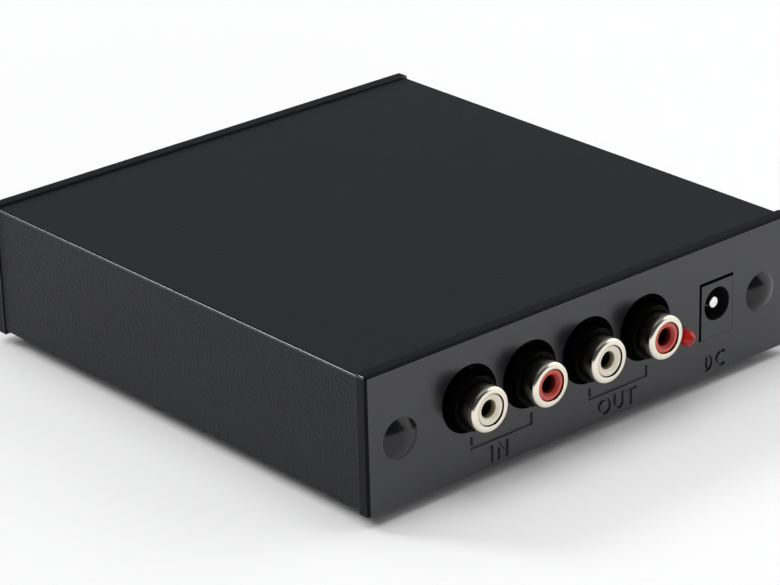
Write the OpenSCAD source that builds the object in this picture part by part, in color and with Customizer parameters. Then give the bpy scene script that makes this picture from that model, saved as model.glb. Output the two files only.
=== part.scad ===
// Desktop phono preamp: a textured sleeve closed by two end panels, with four phono sockets,
// a status light and a power inlet on the rear panel, and its circuit board inside.
// The front panel faces -Y and the sockets face +Y. Z = 0 is the surface that it stands on.

/* [Case] */
// Width over the end panels
case_w = 102; // [100:1:130]
// Depth over the two end panels
case_d = 107; // [100:1:140]
// Height of the end panels
case_h = 26.1; // [25.5:0.1:34]
// Thickness of the sleeve's walls
wall = 2; // [1.6:0.1:2.4]
// Thickness of each end panel
panel_t = 2.5; // [2.2:0.1:3.5]
// How far the end panels stand proud of the sleeve at each side
proud_side = 0.3; // [0.2:0.1:1]
// How far they stand proud of its top
proud_top = 0.5; // [0.2:0.1:1.2]
// How far they reach below its underside
proud_bottom = 0.75; // [0.25:0.05:1.2]
// Edge radius of the end panels
panel_edge_r = 0.5; // [0.2:0.1:1]
// Edge radius of the sleeve
sleeve_edge_r = 0.4; // [0.2:0.1:1]
// Gap between the sleeve and what slides into it
slide_gap = 0.15; // [0.1:0.05:0.3]
// Depth of the lips that locate the end panels in the sleeve
lip_depth = 4; // [3:0.5:6]
// Thickness of those lips
lip_t = 1.5; // [1:0.1:2]

/* [Domed buttons] */
// Radius of each round button on the rear panel
button_r = 3.8; // [2.5:0.1:5]
// How far each button's dome stands proud of the panel
button_out = 1.2; // [0.5:0.1:1.5]
// Distance from the panel's side to the button's centre
button_inset = 7.35; // [6:0.05:9]
// Height of the button's centre above the panel's lower edge
button_z = 12.7; // [10:0.1:15]

/* [Feet] */
// Radius of a foot
foot_r = 5; // [4:0.5:7]
// Clear height under the end panels
foot_clear = 2; // [1:0.25:5]
// Distance from the case's side to a foot's centre
foot_inset_x = 14; // [12:1:20]
// Distance from the case's end to a foot's centre
foot_inset_y = 22; // [20:1:30]

/* [Case screws] */
// Radius of a case screw's shank
screw_r = 1.25; // [1:0.05:1.5]
// Radius of its head
screw_head_r = 2.4; // [2.2:0.1:3]
// Length of the screw
screw_len = 6.5; // [6:0.5:9]
// Distance from the case's side to a screw
screw_inset_x = 9; // [8:0.5:10]
// Distance from an end panel's inner face to a screw
screw_inset_y = 4.5; // [4:0.5:6]
// Width of the boss that a screw bites into
boss_w = 7.6; // [6:0.2:8]
// Height of that boss
boss_h = 8; // [7:0.5:11]

/* [Circuit board] */
// Thickness of the board
board_t = 1.6; // [1:0.2:2]
// Clear height under the board
under_board = 3.15; // [2.8:0.05:4]
// Gap between the board's ends and the end panels
board_end_gap = 0.7; // [0.3:0.1:1.5]
// Depth of the guide rails
rail_depth = 2.2; // [1.5:0.1:2.4]
// Thickness of the guide rails
rail_t = 1.2; // [0.8:0.1:1.6]
// Radius of a component's wire
wire_r = 0.3; // [0.2:0.05:0.35]
// How far the wires reach below the board
wire_out = 1; // [0.6:0.1:1.6]

/* [Phono sockets] */
// Distance between neighbouring sockets
socket_pitch = 14; // [13.6:0.1:14.4]
// Sideways shift of the row from the middle of the case
socket_shift = 7; // [6:0.5:8]
// Height of the sockets' axis above the board
socket_h = 7; // [6.6:0.1:8]
// How far the shells reach out of the rear panel
socket_out = 5.4; // [4:0.1:9]
// Radius of the openings in the rear panel
opening_r = 6.2; // [5.6:0.1:6.4]
// How far the openings sit above the sockets' axis
opening_rise = 0.35; // [0:0.05:0.5]
// Radius of the black collars
collar_r = 4.95; // [4.6:0.05:5.2]
// How far the collars reach out of the rear panel
collar_out = 2; // [0:0.25:2.5]
// Outer radius of a shell
shell_r = 3.95; // [3.8:0.05:4.05]
// Wall of a shell
shell_wall = 0.4; // [0.3:0.05:0.5]
// Thickness of a shell's rolled lip
lip_bead = 1.3; // [1.3:0.1:1.6]
// Radius of the rolled lip's outer round
lip_round = 0.65; // [0.3:0.05:0.65]
// How far the rolled lip stands proud of the shell
lip_proud = 0.2; // [0.1:0.05:0.3]
// How far the insert lies below the lip
insert_recess = 0.25; // [0.1:0.05:0.6]
// How far the mouth of an insert's hole widens
insert_mouth = 0.5; // [0.1:0.05:0.7]
// Radius of the hole that takes a plug's pin
plug_pin_r = 1.65; // [1.6:0.05:1.8]

/* [Power inlet] */
// Distance from the status light to the inlet's axis
inlet_gap = 9.3; // [8.8:0.1:9.5]
// Width of the inlet's body
inlet_w = 8.2; // [8:0.1:8.6]
// Height of its body
inlet_body_h = 10.8; // [10.6:0.1:12]
// Depth of its body
inlet_d = 13.5; // [13.2:0.1:16]
// Height of its axis above the board
inlet_axis_h = 6.3; // [6.2:0.1:6.8]
// Radius of its bore
inlet_bore_r = 3.15; // [3:0.05:3.3]
// Radius of its centre pin
inlet_pin_r = 1.05; // [0.9:0.05:1.25]
// How far the pin's tip lies inside the panel's face
inlet_pin_in = 1.2; // [0.5:0.1:3]
// Gap beside and above the body in its cut-out
inlet_gap_open = 0.4; // [0.1:0.05:0.6]
// Gap on its other two sides
inlet_gap_tight = 0.06; // [0.05:0.01:0.2]

/* [Status light] */
// Distance from the last socket to the light
led_gap = 9; // [8.8:0.1:9.2]
// Height of the light's axis above the board
led_h = 2.95; // [2.6:0.05:3.4]
// Radius of the lens
led_r = 1.5; // [1.2:0.05:1.6]
// How far the lens reaches out of the rear panel
led_out = 3.5; // [2:0.1:3.7]

/* [Marks] */
// Width of an engraved stroke
mark_w = 0.55; // [0.3:0.05:0.8]
// Depth of an engraved stroke
mark_depth = 0.35; // [0.1:0.05:0.6]
// Distance from the openings down to a bracket's bar
bracket_drop = 2.95; // [2:0.05:3.2]
// Height of a bracket's ends
bracket_h = 2.35; // [1.2:0.05:2.6]
// Height of a letter
letter_h = 2.7; // [1.5:0.1:2.8]
// Distance from a bracket's bar down to the letters
letter_drop = 1.05; // [0.8:0.05:1.3]

/* [Hidden] */
$fn = 64;
cut = 0.01;
bury = 0.2;

// Heights
z_panel = foot_clear;
z_panel_top = z_panel + case_h;
z_sleeve = z_panel + proud_bottom;
z_sleeve_top = z_panel_top - proud_top;
z_floor = z_sleeve + wall;
z_roof = z_sleeve_top - wall;
z_board = z_floor + under_board + board_t;
z_wire = z_board - board_t - wire_out;
z_socket = z_board + socket_h;
z_opening = z_socket + opening_rise;
z_inlet = z_board + inlet_axis_h;
z_led = z_board + led_h;

// Places along the depth; the middle of the whole length is Y = 0
y_rear = (case_d - socket_out) / 2;
y_front = y_rear - case_d;
y_sleeve_rear = y_rear - panel_t;
y_sleeve_front = y_front + panel_t;
y_board_rear = y_sleeve_rear - board_end_gap;
y_board_front = y_sleeve_front + board_end_gap;

// Widths
sleeve_w = case_w - 2 * proud_side;
inner_w = sleeve_w - 2 * wall;
board_w = inner_w - 2 * slide_gap;
x_screw = case_w / 2 - screw_inset_x;
x_foot = case_w / 2 - foot_inset_x;
x_button = case_w / 2 - button_inset;

// Sockets, light and inlet across the panel
socket_n = 4;
socket_white = "ivory";
socket_red = "firebrick";
function socket_x(i) = socket_shift + ((socket_n - 1) / 2 - i) * socket_pitch;
x_led = socket_x(socket_n - 1) - led_gap;
x_inlet = x_led - inlet_gap;

// Screws
screw_fit = 0.05;
screw_hole_r = screw_r + 0.25;
screw_sink = screw_head_r - screw_r;
screw_play = 0.1;
y_screws = [y_sleeve_front + screw_inset_y, y_sleeve_rear - screw_inset_y];
y_feet = [y_front + foot_inset_y, y_rear - foot_inset_y];
notch_play = 0.6;
notch_x = x_screw - boss_w / 2 - notch_play;
notch_y = screw_inset_y + boss_w / 2 + notch_play;

// Socket depths, measured inwards from the rear panel's outer face
block_gap = 0.3;
block_front = panel_t + block_gap;
block_d = 9.2;
block_over = 1;
block_beside = 1.6;
block_back = block_front + block_d;
block_h = socket_h + collar_r + block_over;
block_side = collar_r + block_beside;
block_right = socket_x(0) + block_side;
block_left = socket_x(socket_n - 1) - block_side;
block_room = 0.3;
relief_w = 1;
relief_d = 2;
bore_fit = 0.05;
part_fit = 0.1;
shell_end = block_front + 4.6;
lip_r = shell_r + lip_proud;
lip_w = 1.25;
lip_mouth_r = 0.2;
lip_back_r = 0.12;
lip_inner_r = lip_r - lip_w;
insert_r = shell_r - shell_wall - bore_fit;
insert_len = 4;
contact_grip = 0.3;
contact_wall = 0.45;
contact_bore_r = plug_pin_r - contact_grip;
contact_r = contact_bore_r + contact_wall;
contact_front = insert_len + insert_recess - socket_out + part_fit;
contact_back = block_back + part_fit;
tail_w = 0.8;
tail_t = 0.5;
tail_hole_r = 0.6;
shell_tail_s = shell_end - 1;

// Inlet depths, measured the same way
inlet_front = 0.05;
inlet_back = inlet_front + inlet_d;
inlet_bore_d = 10;
shank_r = inlet_pin_r + 0.2;
blade_t = 0.3;
blade_w = 2.4;
blade_lift = 0.86;
blade_root_h = 2.35;
blade_crest_h = inlet_axis_h - inlet_bore_r + blade_lift;
blade_root_s = 10.8;
blade_crest_s = 5.2;
blade_tip_s = 3.6;
tip_drop = 1.3;
blade_tip_h = blade_crest_h - tip_drop;
blade_run = blade_root_s - blade_crest_s;
blade_play = 0.3;
curl_r = 0.25;
root_gap = 0.1;
root_s = blade_root_s + curl_r + root_gap;
channel_w = blade_w + 2 * blade_play;
channel_front = 3;
channel_back = root_s + blade_t + 0.05;
tab_s = 7.7;
tab_len = 1;
post_reach = 1.4;
tab_play = 0.3;
tab_h = blade_root_h + (blade_crest_h - blade_root_h) * (blade_root_s - tab_s) / blade_run;
shunt_gap = 0.1;
shunt_t = 0.3;
shunt_room = 0.2;
post_x = channel_w / 2 + post_reach;
tab_x = post_x - shunt_t - tab_play;

// Status light
led_body = 5.3;
led_flange_r = led_r + 0.4;
led_flange_t = 1;
led_fit = 0.1;
led_base = led_body - led_out;
led_seat = led_base - led_flange_t - 0.1;
led_bend = 5.5;
led_pitch = 2.54;

// Components, each at [x, distance in from the rear panel's outer face]
opamps = [[22, 33], [-8, 33]];
opamp_size = [6.4, 9.8, 3.4];
opamp_lift = 0.5;
opamp_row = 7.62;
pin_pitch = 2.54;
reservoirs = [[-34, 30], [-34, 44]];
reservoir_r = 5;
reservoir_h = 12.5;
reservoir_pitch = 5;
couplings = [[33, 46], [33, 54], [-20, 46], [-20, 54]];
coupling_r = 2.5;
coupling_h = 11;
coupling_pitch = 2;
can_lift = 0.2;
lying_gap = 0.1;
eq_caps = [[31, 33], [13, 33], [1, 33], [-17, 33]];
eq_size = [2.6, 7.3, 6.5];
eq_pitch = 5;
resistor_banks = [22, -8];
resistor_first = 42;
resistor_step = 3.4;
resistor_n = 6;
resistor_spots = [for (x = resistor_banks, k = [0 : resistor_n - 1]) [x, resistor_first + k * resistor_step]];
resistor_r = 1.15;
resistor_len = 6.3;
resistor_pitch = 10.16;
diode_spot = [-26, 21];
diode_r = 1.35;
diode_len = 5.2;
diode_pitch = 10.16;
regulator_spot = [-25, 33];
regulator_r = 2.4;
regulator_h = 4.6;
regulator_lift = 2;
bead_setback = 7.5;
bead_spots = [for (i = [0 : socket_n - 1]) [socket_x(i), block_back + bead_setback]];
bead_outer_r = 1.75;
bead_hole_r = 0.6;
bead_len = 4.7;
bead_pitch = 7.62;

// Two wires of one component, side by side or one behind the other
function pair_x(p, pitch) = [for (s = [-1, 1]) [p[0] + s * pitch / 2, p[1]]];
function pair_y(p, pitch) = [for (s = [-1, 1]) [p[0], p[1] + s * pitch / 2]];
function flat(lists) = [for (list = lists) for (p = list) p];
opamp_pins = flat([for (c = opamps) [for (s = [-1, 1], k = [0 : 3])
    [c[0] + s * opamp_row / 2, c[1] + (k - 1.5) * pin_pitch]]]);
reservoir_wires = flat([for (c = reservoirs) pair_x(c, reservoir_pitch)]);
coupling_wires = flat([for (c = couplings) pair_x(c, coupling_pitch)]);
eq_wires = flat([for (c = eq_caps) pair_y(c, eq_pitch)]);
resistor_wires = flat([for (c = resistor_spots) pair_x(c, resistor_pitch)]);
diode_wires = pair_y(diode_spot, diode_pitch);
regulator_wires = [for (k = [-1 : 1]) [regulator_spot[0] + k * pin_pitch / 2, regulator_spot[1]]];
bead_wires = flat([for (c = bead_spots) pair_y(c, bead_pitch)]);
led_wires = pair_x([x_led, led_bend], led_pitch);
shell_tails = [for (i = [0 : socket_n - 1]) [socket_x(i), shell_tail_s]];
contact_tails = [for (i = [0 : socket_n - 1]) [socket_x(i), contact_back + tail_t / 2]];
inlet_tails = [
    [x_inlet, inlet_back + part_fit + tail_t / 2],
    [x_inlet, root_s + blade_t / 2],
    [x_inlet + post_x - shunt_t / 2, tab_s]
];
wire_holes = concat(opamp_pins, reservoir_wires, coupling_wires, eq_wires, resistor_wires,
    diode_wires, regulator_wires, bead_wires, led_wires);
tail_holes = concat(shell_tails, contact_tails, inlet_tails);
wire_fit = 0.15;

// A 2D rectangle with true round corners
module round_rect(w, h, r) {
    square([w - 2 * r, h], center = true);
    square([w, h - 2 * r], center = true);
    for (sx = [-1, 1], sy = [-1, 1])
        translate([sx * (w / 2 - r), sy * (h / 2 - r)]) circle(r);
}

// Extrudes a shape drawn in X and Z from y0 to y1
module along_y(y0, y1) {
    translate([0, y1, 0]) rotate([90, 0, 0]) linear_extrude(y1 - y0) children();
}

// A cylinder along Y, between two depths behind the rear panel's outer face
module rod_y(x, z, r, s0, s1) {
    translate([x, y_rear - s0, z]) rotate([90, 0, 0]) cylinder(r = r, h = s1 - s0);
}

// A box between two depths, from x0 to x1 and z0 to z1
module box_s(x0, x1, s0, s1, z0, z1) {
    translate([x0, y_rear - s1, z0]) cube([x1 - x0, s1 - s0, z1 - z0]);
}

// Puts a component at its spot, with z measured from the board's top
module on_board(p) {
    translate([p[0], y_rear - p[1], z_board]) children();
}

// A wire from height h down through the board
module wire(p, h) {
    on_board(p) translate([0, 0, z_wire - z_board]) cylinder(r = wire_r, h = h - z_wire + z_board, $fn = 24);
}

// ---- Sleeve ----

module sleeve_section() {
    difference() {
        translate([0, (z_sleeve + z_sleeve_top) / 2])
            round_rect(sleeve_w, z_sleeve_top - z_sleeve, sleeve_edge_r);
        translate([-inner_w / 2, z_floor]) square([inner_w, z_roof - z_floor]);
    }
    for (side = [-1, 1], z = [z_board - board_t - slide_gap - rail_t, z_board + slide_gap])
        translate([side > 0 ? inner_w / 2 - rail_depth : -inner_w / 2 - bury, z])
            square([rail_depth + bury, rail_t]);
}

module sleeve() {
    color("#3a3b3e") difference() {
        along_y(y_sleeve_front, y_sleeve_rear) sleeve_section();
        for (x = [-x_screw, x_screw], y = y_screws) translate([x, y, z_sleeve]) {
            translate([0, 0, -cut]) cylinder(r = screw_hole_r, h = wall + 2 * cut);
            translate([0, 0, -cut])
                cylinder(r1 = screw_head_r + screw_play + cut, r2 = screw_r + screw_play,
                    h = screw_sink + 2 * cut);
        }
    }
}

// ---- End panels ----

// The outline of a panel's edge: square at the back, round at the outer face (y = 0)
module rim_outline(len) {
    translate([-len / 2, -panel_t - 1]) square([len, panel_t + 1 - panel_edge_r]);
    translate([-len / 2 + panel_edge_r, -panel_t]) square([len - 2 * panel_edge_r, panel_t]);
    for (s = [-1, 1]) translate([s * (len / 2 - panel_edge_r), -panel_edge_r]) circle(panel_edge_r);
}

// A panel with its outer face at y = 0, facing +Y
module panel_plate() {
    intersection() {
        along_y(-panel_t, 0) translate([0, z_panel + case_h / 2]) round_rect(case_w, case_h, panel_edge_r);
        translate([0, 0, z_panel - 1]) linear_extrude(case_h + 2) rim_outline(case_w);
        translate([-case_w / 2 - 1, 0, z_panel + case_h / 2])
            rotate([0, 90, 0]) linear_extrude(case_w + 2) rim_outline(case_h);
    }
}

module panel_lips() {
    upper_w = inner_w - 2 * slide_gap;
    lower_w = 2 * (x_screw - boss_w / 2) + 2 * bury;
    translate([-upper_w / 2, -panel_t - lip_depth, z_roof - slide_gap - lip_t])
        cube([upper_w, lip_depth + bury, lip_t]);
    translate([-lower_w / 2, -panel_t - lip_depth / 2, z_floor + slide_gap])
        cube([lower_w, lip_depth / 2 + bury, lip_t]);
}

// The screw bosses, cut clear of the sleeve's guide rails where they come near
module panel_bosses() {
    boss_d = screw_inset_y + boss_w / 2;
    rails_z = z_board - board_t - rail_t - 2 * slide_gap;
    rails_h = board_t + 2 * rail_t + 4 * slide_gap;
    difference() {
        for (x = [-x_screw, x_screw])
            translate([x - boss_w / 2, -panel_t - boss_d, z_floor + slide_gap])
                cube([boss_w, boss_d + bury, boss_h]);
        for (turn = [0, 1]) mirror([turn, 0, 0])
            translate([inner_w / 2 - rail_depth - slide_gap, -panel_t - boss_d - 1, rails_z])
                cube([rail_depth + 1, boss_d + 1, rails_h]);
    }
}

module panel_pilots() {
    for (x = [-x_screw, x_screw]) translate([x, -panel_t - screw_inset_y, z_floor])
        cylinder(r = screw_r + screw_fit, h = screw_len - wall + 0.5);
}

module blank_panel() {
    difference() {
        union() {
            panel_plate();
            panel_lips();
            panel_bosses();
        }
        panel_pilots();
    }
}

module front_panel() {
    color("#45464a") translate([0, y_front, 0]) mirror([0, 1, 0]) blank_panel();
}

// An engraved stroke from [x0, z0] to [x1, z1] on the rear panel; x grows to the reader's right
module stroke(x0, z0, x1, z1) {
    len = norm([x1 - x0, z1 - z0]);
    translate([-x0, 0, z0]) rotate([0, 180 + atan2(z1 - z0, x1 - x0), 0])
        translate([-mark_w / 2, -mark_depth, -mark_w / 2]) cube([len + mark_w, mark_depth + cut, mark_w]);
}

// An engraved ring about [x, z], kept only inside the box [x0, x1] by [z0, z1]
module ring_stroke(x, z, r, x0, x1, z0, z1) {
    intersection() {
        translate([-x, cut, z]) rotate([90, 0, 0]) difference() {
            cylinder(r = r + mark_w / 2, h = mark_depth + cut);
            translate([0, 0, -cut]) cylinder(r = r - mark_w / 2, h = mark_depth + 3 * cut);
        }
        translate([-x1, -mark_depth - cut, z0]) cube([x1 - x0, mark_depth + 3 * cut, z1 - z0]);
    }
}

// Letters are drawn with their lower left corner at [x, z]
module letter_i(x, z) {
    stroke(x, z, x, z + letter_h);
}

module letter_n(x, z) {
    w = letter_h * 0.72;
    stroke(x, z, x, z + letter_h);
    stroke(x, z + letter_h, x + w, z);
    stroke(x + w, z, x + w, z + letter_h);
}

module letter_o(x, z) {
    r = letter_h / 2;
    ring_stroke(x + r, z + r, r, x - r, x + 3 * r, z - r, z + 3 * r);
}

module letter_u(x, z) {
    r = letter_h * 0.36;
    stroke(x, z + r, x, z + letter_h);
    stroke(x + 2 * r, z + r, x + 2 * r, z + letter_h);
    ring_stroke(x + r, z + r, r, x - r, x + 3 * r, z - r, z + r);
}

module letter_t(x, z) {
    w = letter_h * 0.8;
    stroke(x, z + letter_h, x + w, z + letter_h);
    stroke(x + w / 2, z, x + w / 2, z + letter_h);
}

module letter_d(x, z) {
    r = letter_h / 2;
    stroke(x, z, x, z + letter_h);
    ring_stroke(x, z + r, r, x, x + 2 * r, z - r, z + 3 * r);
}

module letter_c(x, z) {
    r = letter_h / 2;
    ring_stroke(x + r, z + r, r, x - r, x + 1.6 * r, z - r, z + 3 * r);
}

// Marks are laid out as the reader sees them, so x is the row's X turned round
module marks() {
    z_bar = z_opening - opening_r - bracket_drop - mark_w / 2;
    z_text = z_bar - mark_w / 2 - letter_drop - letter_h;
    for (first = [0, 2]) {
        x0 = -socket_x(first) + mark_w / 2;
        x1 = -socket_x(first + 1) + mark_w / 2;
        stroke(x0, z_bar, x1, z_bar);
        stroke(x0, z_bar, x0, z_bar + bracket_h - mark_w);
        stroke(x1, z_bar, x1, z_bar + bracket_h - mark_w);
    }
    x_in = -(socket_x(0) + socket_x(1)) / 2 - letter_h * 0.75;
    letter_i(x_in, z_text);
    letter_n(x_in + letter_h * 0.6, z_text);
    x_out = -(socket_x(2) + socket_x(3)) / 2 - letter_h * 1.65;
    letter_o(x_out, z_text);
    letter_u(x_out + letter_h * 1.45, z_text);
    letter_t(x_out + letter_h * 2.55, z_text);
    x_dc = -x_inlet - letter_h * 0.95;
    letter_d(x_dc, z_text);
    letter_c(x_dc + letter_h * 0.95, z_text);
}

// The inlet's cut-out, with its wider gap towards the sockets and above. It runs on past whatever
// of the panel's lips and bosses comes near the body.
module inlet_cutout() {
    box_s(x_inlet - inlet_w / 2 - inlet_gap_tight, x_inlet + inlet_w / 2 + inlet_gap_open,
        -cut, inlet_back + part_fit, z_board - inlet_gap_tight, z_board + inlet_body_h + inlet_gap_open);
}

// Room in the same way for the sockets' block, behind the plate
module block_pocket() {
    box_s(block_left - block_room, block_right + block_room, panel_t + block_gap / 2, block_back + block_room,
        z_board - cut, z_board + block_h + block_room);
}

module button(x) {
    ball_r = (button_r * button_r + button_out * button_out) / (2 * button_out);
    intersection() {
        translate([x, y_rear + button_out - ball_r, z_panel + button_z]) sphere(ball_r, $fn = 96);
        rod_y(x, z_panel + button_z, button_r, -button_out - cut, panel_t / 2);
    }
}

module rear_panel() {
    color("#55565b") for (x = [-x_button, x_button]) button(x);
    color("#55565b") difference() {
        translate([0, y_rear, 0]) blank_panel();
        for (i = [0 : socket_n - 1]) rod_y(socket_x(i), z_opening, opening_r, -cut, panel_t + cut);
        rod_y(x_led, z_led, led_r + led_fit, -cut, panel_t + cut);
        rod_y(x_led, z_led, led_flange_r + led_fit, led_seat, panel_t + cut);
        inlet_cutout();
        block_pocket();
        translate([0, y_rear, 0]) marks();
    }
}

// ---- Feet and screws ----

module foot(i) {
    foot_h = z_sleeve;
    soft = 0.6;
    color("#1c1c1d") translate([i % 2 == 0 ? -x_foot : x_foot, y_feet[i < 2 ? 0 : 1], 0])
        rotate_extrude() polygon([
            [0, 0], [foot_r - soft, 0], [foot_r, soft], [foot_r, foot_h], [0, foot_h]
        ]);
}

module case_screw() {
    difference() {
        rotate_extrude($fn = 48) polygon([
            [0, 0], [screw_head_r, 0], [screw_r, screw_sink], [screw_r, screw_len - screw_r],
            [0.3, screw_len], [0, screw_len]
        ]);
        for (turn = [0, 90]) rotate([0, 0, turn])
            translate([-1.2, -0.3, -cut]) cube([2.4, 0.6, 0.9]);
    }
}

module case_screws() {
    color("#8d8f92") for (x = [-x_screw, x_screw], y = y_screws)
        translate([x, y, z_sleeve + screw_play]) case_screw();
}

// ---- Circuit board ----

module circuit_board() {
    board_len = y_board_rear - y_board_front;
    color("#1f5a38") difference() {
        translate([-board_w / 2, y_board_front, z_board - board_t]) cube([board_w, board_len, board_t]);
        for (sx = [-1, 1], y = [y_sleeve_front - cut, y_sleeve_rear - notch_y])
            translate([sx > 0 ? notch_x : -board_w / 2 - 1, y, z_board - board_t - 1])
                cube([board_w / 2 + 1 - notch_x, notch_y + cut, board_t + 2]);
        for (p = wire_holes) on_board(p) translate([0, 0, -board_t - cut])
            cylinder(r = wire_r + wire_fit, h = board_t + 2 * cut, $fn = 24);
        for (p = tail_holes) on_board(p) translate([0, 0, -board_t - cut])
            cylinder(r = tail_hole_r, h = board_t + 2 * cut, $fn = 24);
    }
}

// ---- Phono sockets ----

module socket_block() {
    color("#141415") difference() {
        union() {
            box_s(block_left, block_right, block_front, block_back, z_board, z_board + block_h);
            for (i = [0 : socket_n - 1])
                rod_y(socket_x(i), z_socket, collar_r, -collar_out, block_front + bury);
        }
        for (i = [0 : socket_n - 1]) {
            rod_y(socket_x(i), z_socket, shell_r + bore_fit, -collar_out - cut, shell_end + part_fit);
            rod_y(socket_x(i), z_socket, contact_r + part_fit, shell_end, block_back + cut);
            on_board([socket_x(i), shell_tail_s]) translate([0, 0, -cut])
                cylinder(r = tail_hole_r, h = socket_h - shell_r + 1, $fn = 24);
        }
        for (i = [0 : socket_n - 2]) {
            x_relief = (socket_x(i) + socket_x(i + 1)) / 2;
            box_s(x_relief - relief_w / 2, x_relief + relief_w / 2, block_front - cut, block_front + relief_d,
                z_board - cut, z_board + block_h + cut);
        }
    }
}

// Half of a rolled lip's cross-section, with the distance out of the panel upwards
module lip_section() {
    translate([lip_inner_r, socket_out - lip_bead]) {
        translate([0, lip_back_r]) square([lip_w, lip_bead - lip_back_r - lip_round]);
        square([lip_w - lip_back_r, lip_bead - lip_round]);
        square([lip_w - lip_round, lip_bead - lip_mouth_r]);
        translate([lip_mouth_r, 0]) square([lip_w - lip_round - lip_mouth_r, lip_bead]);
        translate([lip_w - lip_back_r, lip_back_r]) circle(lip_back_r);
        translate([lip_w - lip_round, lip_bead - lip_round]) circle(lip_round);
        translate([lip_mouth_r, lip_bead - lip_mouth_r]) circle(lip_mouth_r);
    }
}

// Half of a shell's cross-section, drawn the same way
module shell_section() {
    translate([shell_r - shell_wall, -shell_end])
        square([shell_wall, shell_end + socket_out - lip_bead / 2]);
    lip_section();
}

module socket_shell(i) {
    color("#cfc8b8") {
        translate([socket_x(i), y_rear, z_socket]) rotate([-90, 0, 0]) rotate_extrude() shell_section();
        on_board([socket_x(i), shell_tail_s]) translate([0, 0, z_wire - z_board])
            cylinder(r = tail_w / 2, h = z_board - z_wire + socket_h - shell_r + shell_wall / 2, $fn = 24);
    }
}

// Half of an insert's cross-section, drawn the same way
module insert_section() {
    face = socket_out - insert_recess;
    neck = socket_out - lip_bead - part_fit;
    polygon([
        [plug_pin_r + insert_mouth, face], [lip_inner_r - part_fit, face], [lip_inner_r - part_fit, neck],
        [insert_r, neck], [insert_r, -shell_end], [contact_r + part_fit, -shell_end],
        [contact_r + part_fit, face - insert_len], [plug_pin_r, face - insert_len],
        [plug_pin_r, face - insert_mouth]
    ]);
}

module socket_insert(i) {
    color(i % 2 == 0 ? socket_white : socket_red)
        translate([socket_x(i), y_rear, z_socket]) rotate([-90, 0, 0]) rotate_extrude() insert_section();
}

module socket_contact(i) {
    slot_w = 0.5;
    slot_end = shell_end - 1;
    color("#c9b26a") {
        difference() {
            rod_y(socket_x(i), z_socket, contact_r, contact_front, contact_back + tail_t);
            rod_y(socket_x(i), z_socket, contact_bore_r, contact_front - cut, contact_back);
            box_s(socket_x(i) - slot_w / 2, socket_x(i) + slot_w / 2, contact_front - cut, slot_end,
                z_socket - contact_r - cut, z_socket + contact_r + cut);
            box_s(socket_x(i) - contact_r - cut, socket_x(i) + contact_r + cut, contact_front - cut,
                slot_end, z_socket - slot_w / 2, z_socket + slot_w / 2);
        }
        box_s(socket_x(i) - tail_w / 2, socket_x(i) + tail_w / 2, contact_back, contact_back + tail_t,
            z_wire, z_socket - contact_r + bury);
    }
}

// ---- Power inlet ----

module power_jack_body() {
    pocket_half = tab_len / 2 + 2 * shunt_room;
    color("#4b4c50") difference() {
        box_s(x_inlet - inlet_w / 2, x_inlet + inlet_w / 2, inlet_front, inlet_back,
            z_board, z_board + inlet_body_h);
        rod_y(x_inlet, z_inlet, inlet_bore_r, inlet_front - cut, inlet_bore_d);
        rod_y(x_inlet, z_inlet, shank_r + bore_fit, inlet_bore_d - cut, inlet_back + cut);
        box_s(x_inlet - channel_w / 2, x_inlet + channel_w / 2, channel_front, channel_back,
            z_board - cut, z_inlet - inlet_bore_r / 2);
        box_s(x_inlet + channel_w / 2 - cut, x_inlet + post_x + shunt_room, tab_s - pocket_half,
            tab_s + pocket_half, z_board - cut, z_board + tab_h + shunt_gap + shunt_t + shunt_room);
    }
}

module power_jack_pin() {
    dome = 0.45;
    color("#d9d9d6") {
        rod_y(x_inlet, z_inlet, inlet_pin_r, inlet_pin_in + dome, inlet_bore_d + part_fit);
        rod_y(x_inlet, z_inlet, shank_r, inlet_bore_d + part_fit, inlet_back + part_fit + tail_t);
        translate([x_inlet, y_rear - inlet_pin_in - dome, z_inlet]) rotate([-90, 0, 0])
            cylinder(r1 = inlet_pin_r, r2 = inlet_pin_r - dome, h = dome);
        box_s(x_inlet - tail_w / 2, x_inlet + tail_w / 2, inlet_back + part_fit,
            inlet_back + part_fit + tail_t, z_wire, z_inlet);
    }
}

// The sprung blade seen from the side, as [distance in from the panel, height above the board]
module blade_outline() {
    crest = 0.4;
    under = 0.25;
    polygon([
        [blade_root_s, blade_root_h - curl_r], [blade_root_s, blade_root_h + curl_r],
        [blade_crest_s + crest, blade_crest_h], [blade_crest_s - crest, blade_crest_h],
        [blade_tip_s, blade_tip_h], [blade_tip_s, blade_tip_h - blade_t],
        [blade_crest_s - under, blade_crest_h - blade_t], [blade_crest_s + under, blade_crest_h - blade_t]
    ]);
    translate([blade_root_s, blade_root_h]) circle(curl_r, $fn = 24);
}

module power_jack_spring() {
    color("#c9b26a") {
        translate([x_inlet - blade_w / 2, y_rear, z_board]) rotate([90, 0, 90])
            linear_extrude(blade_w) mirror([1, 0]) blade_outline();
        box_s(x_inlet, x_inlet + tab_x, tab_s - tab_len / 2, tab_s + tab_len / 2,
            z_board + tab_h - blade_t, z_board + tab_h);
    }
}

module power_jack_spring_root() {
    color("#c9b26a") {
        box_s(x_inlet - blade_w / 2, x_inlet + blade_w / 2, root_s, root_s + blade_t,
            z_board, z_board + blade_root_h + curl_r);
        box_s(x_inlet - tail_w / 2, x_inlet + tail_w / 2, root_s, root_s + blade_t, z_wire, z_board + bury);
    }
}

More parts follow.
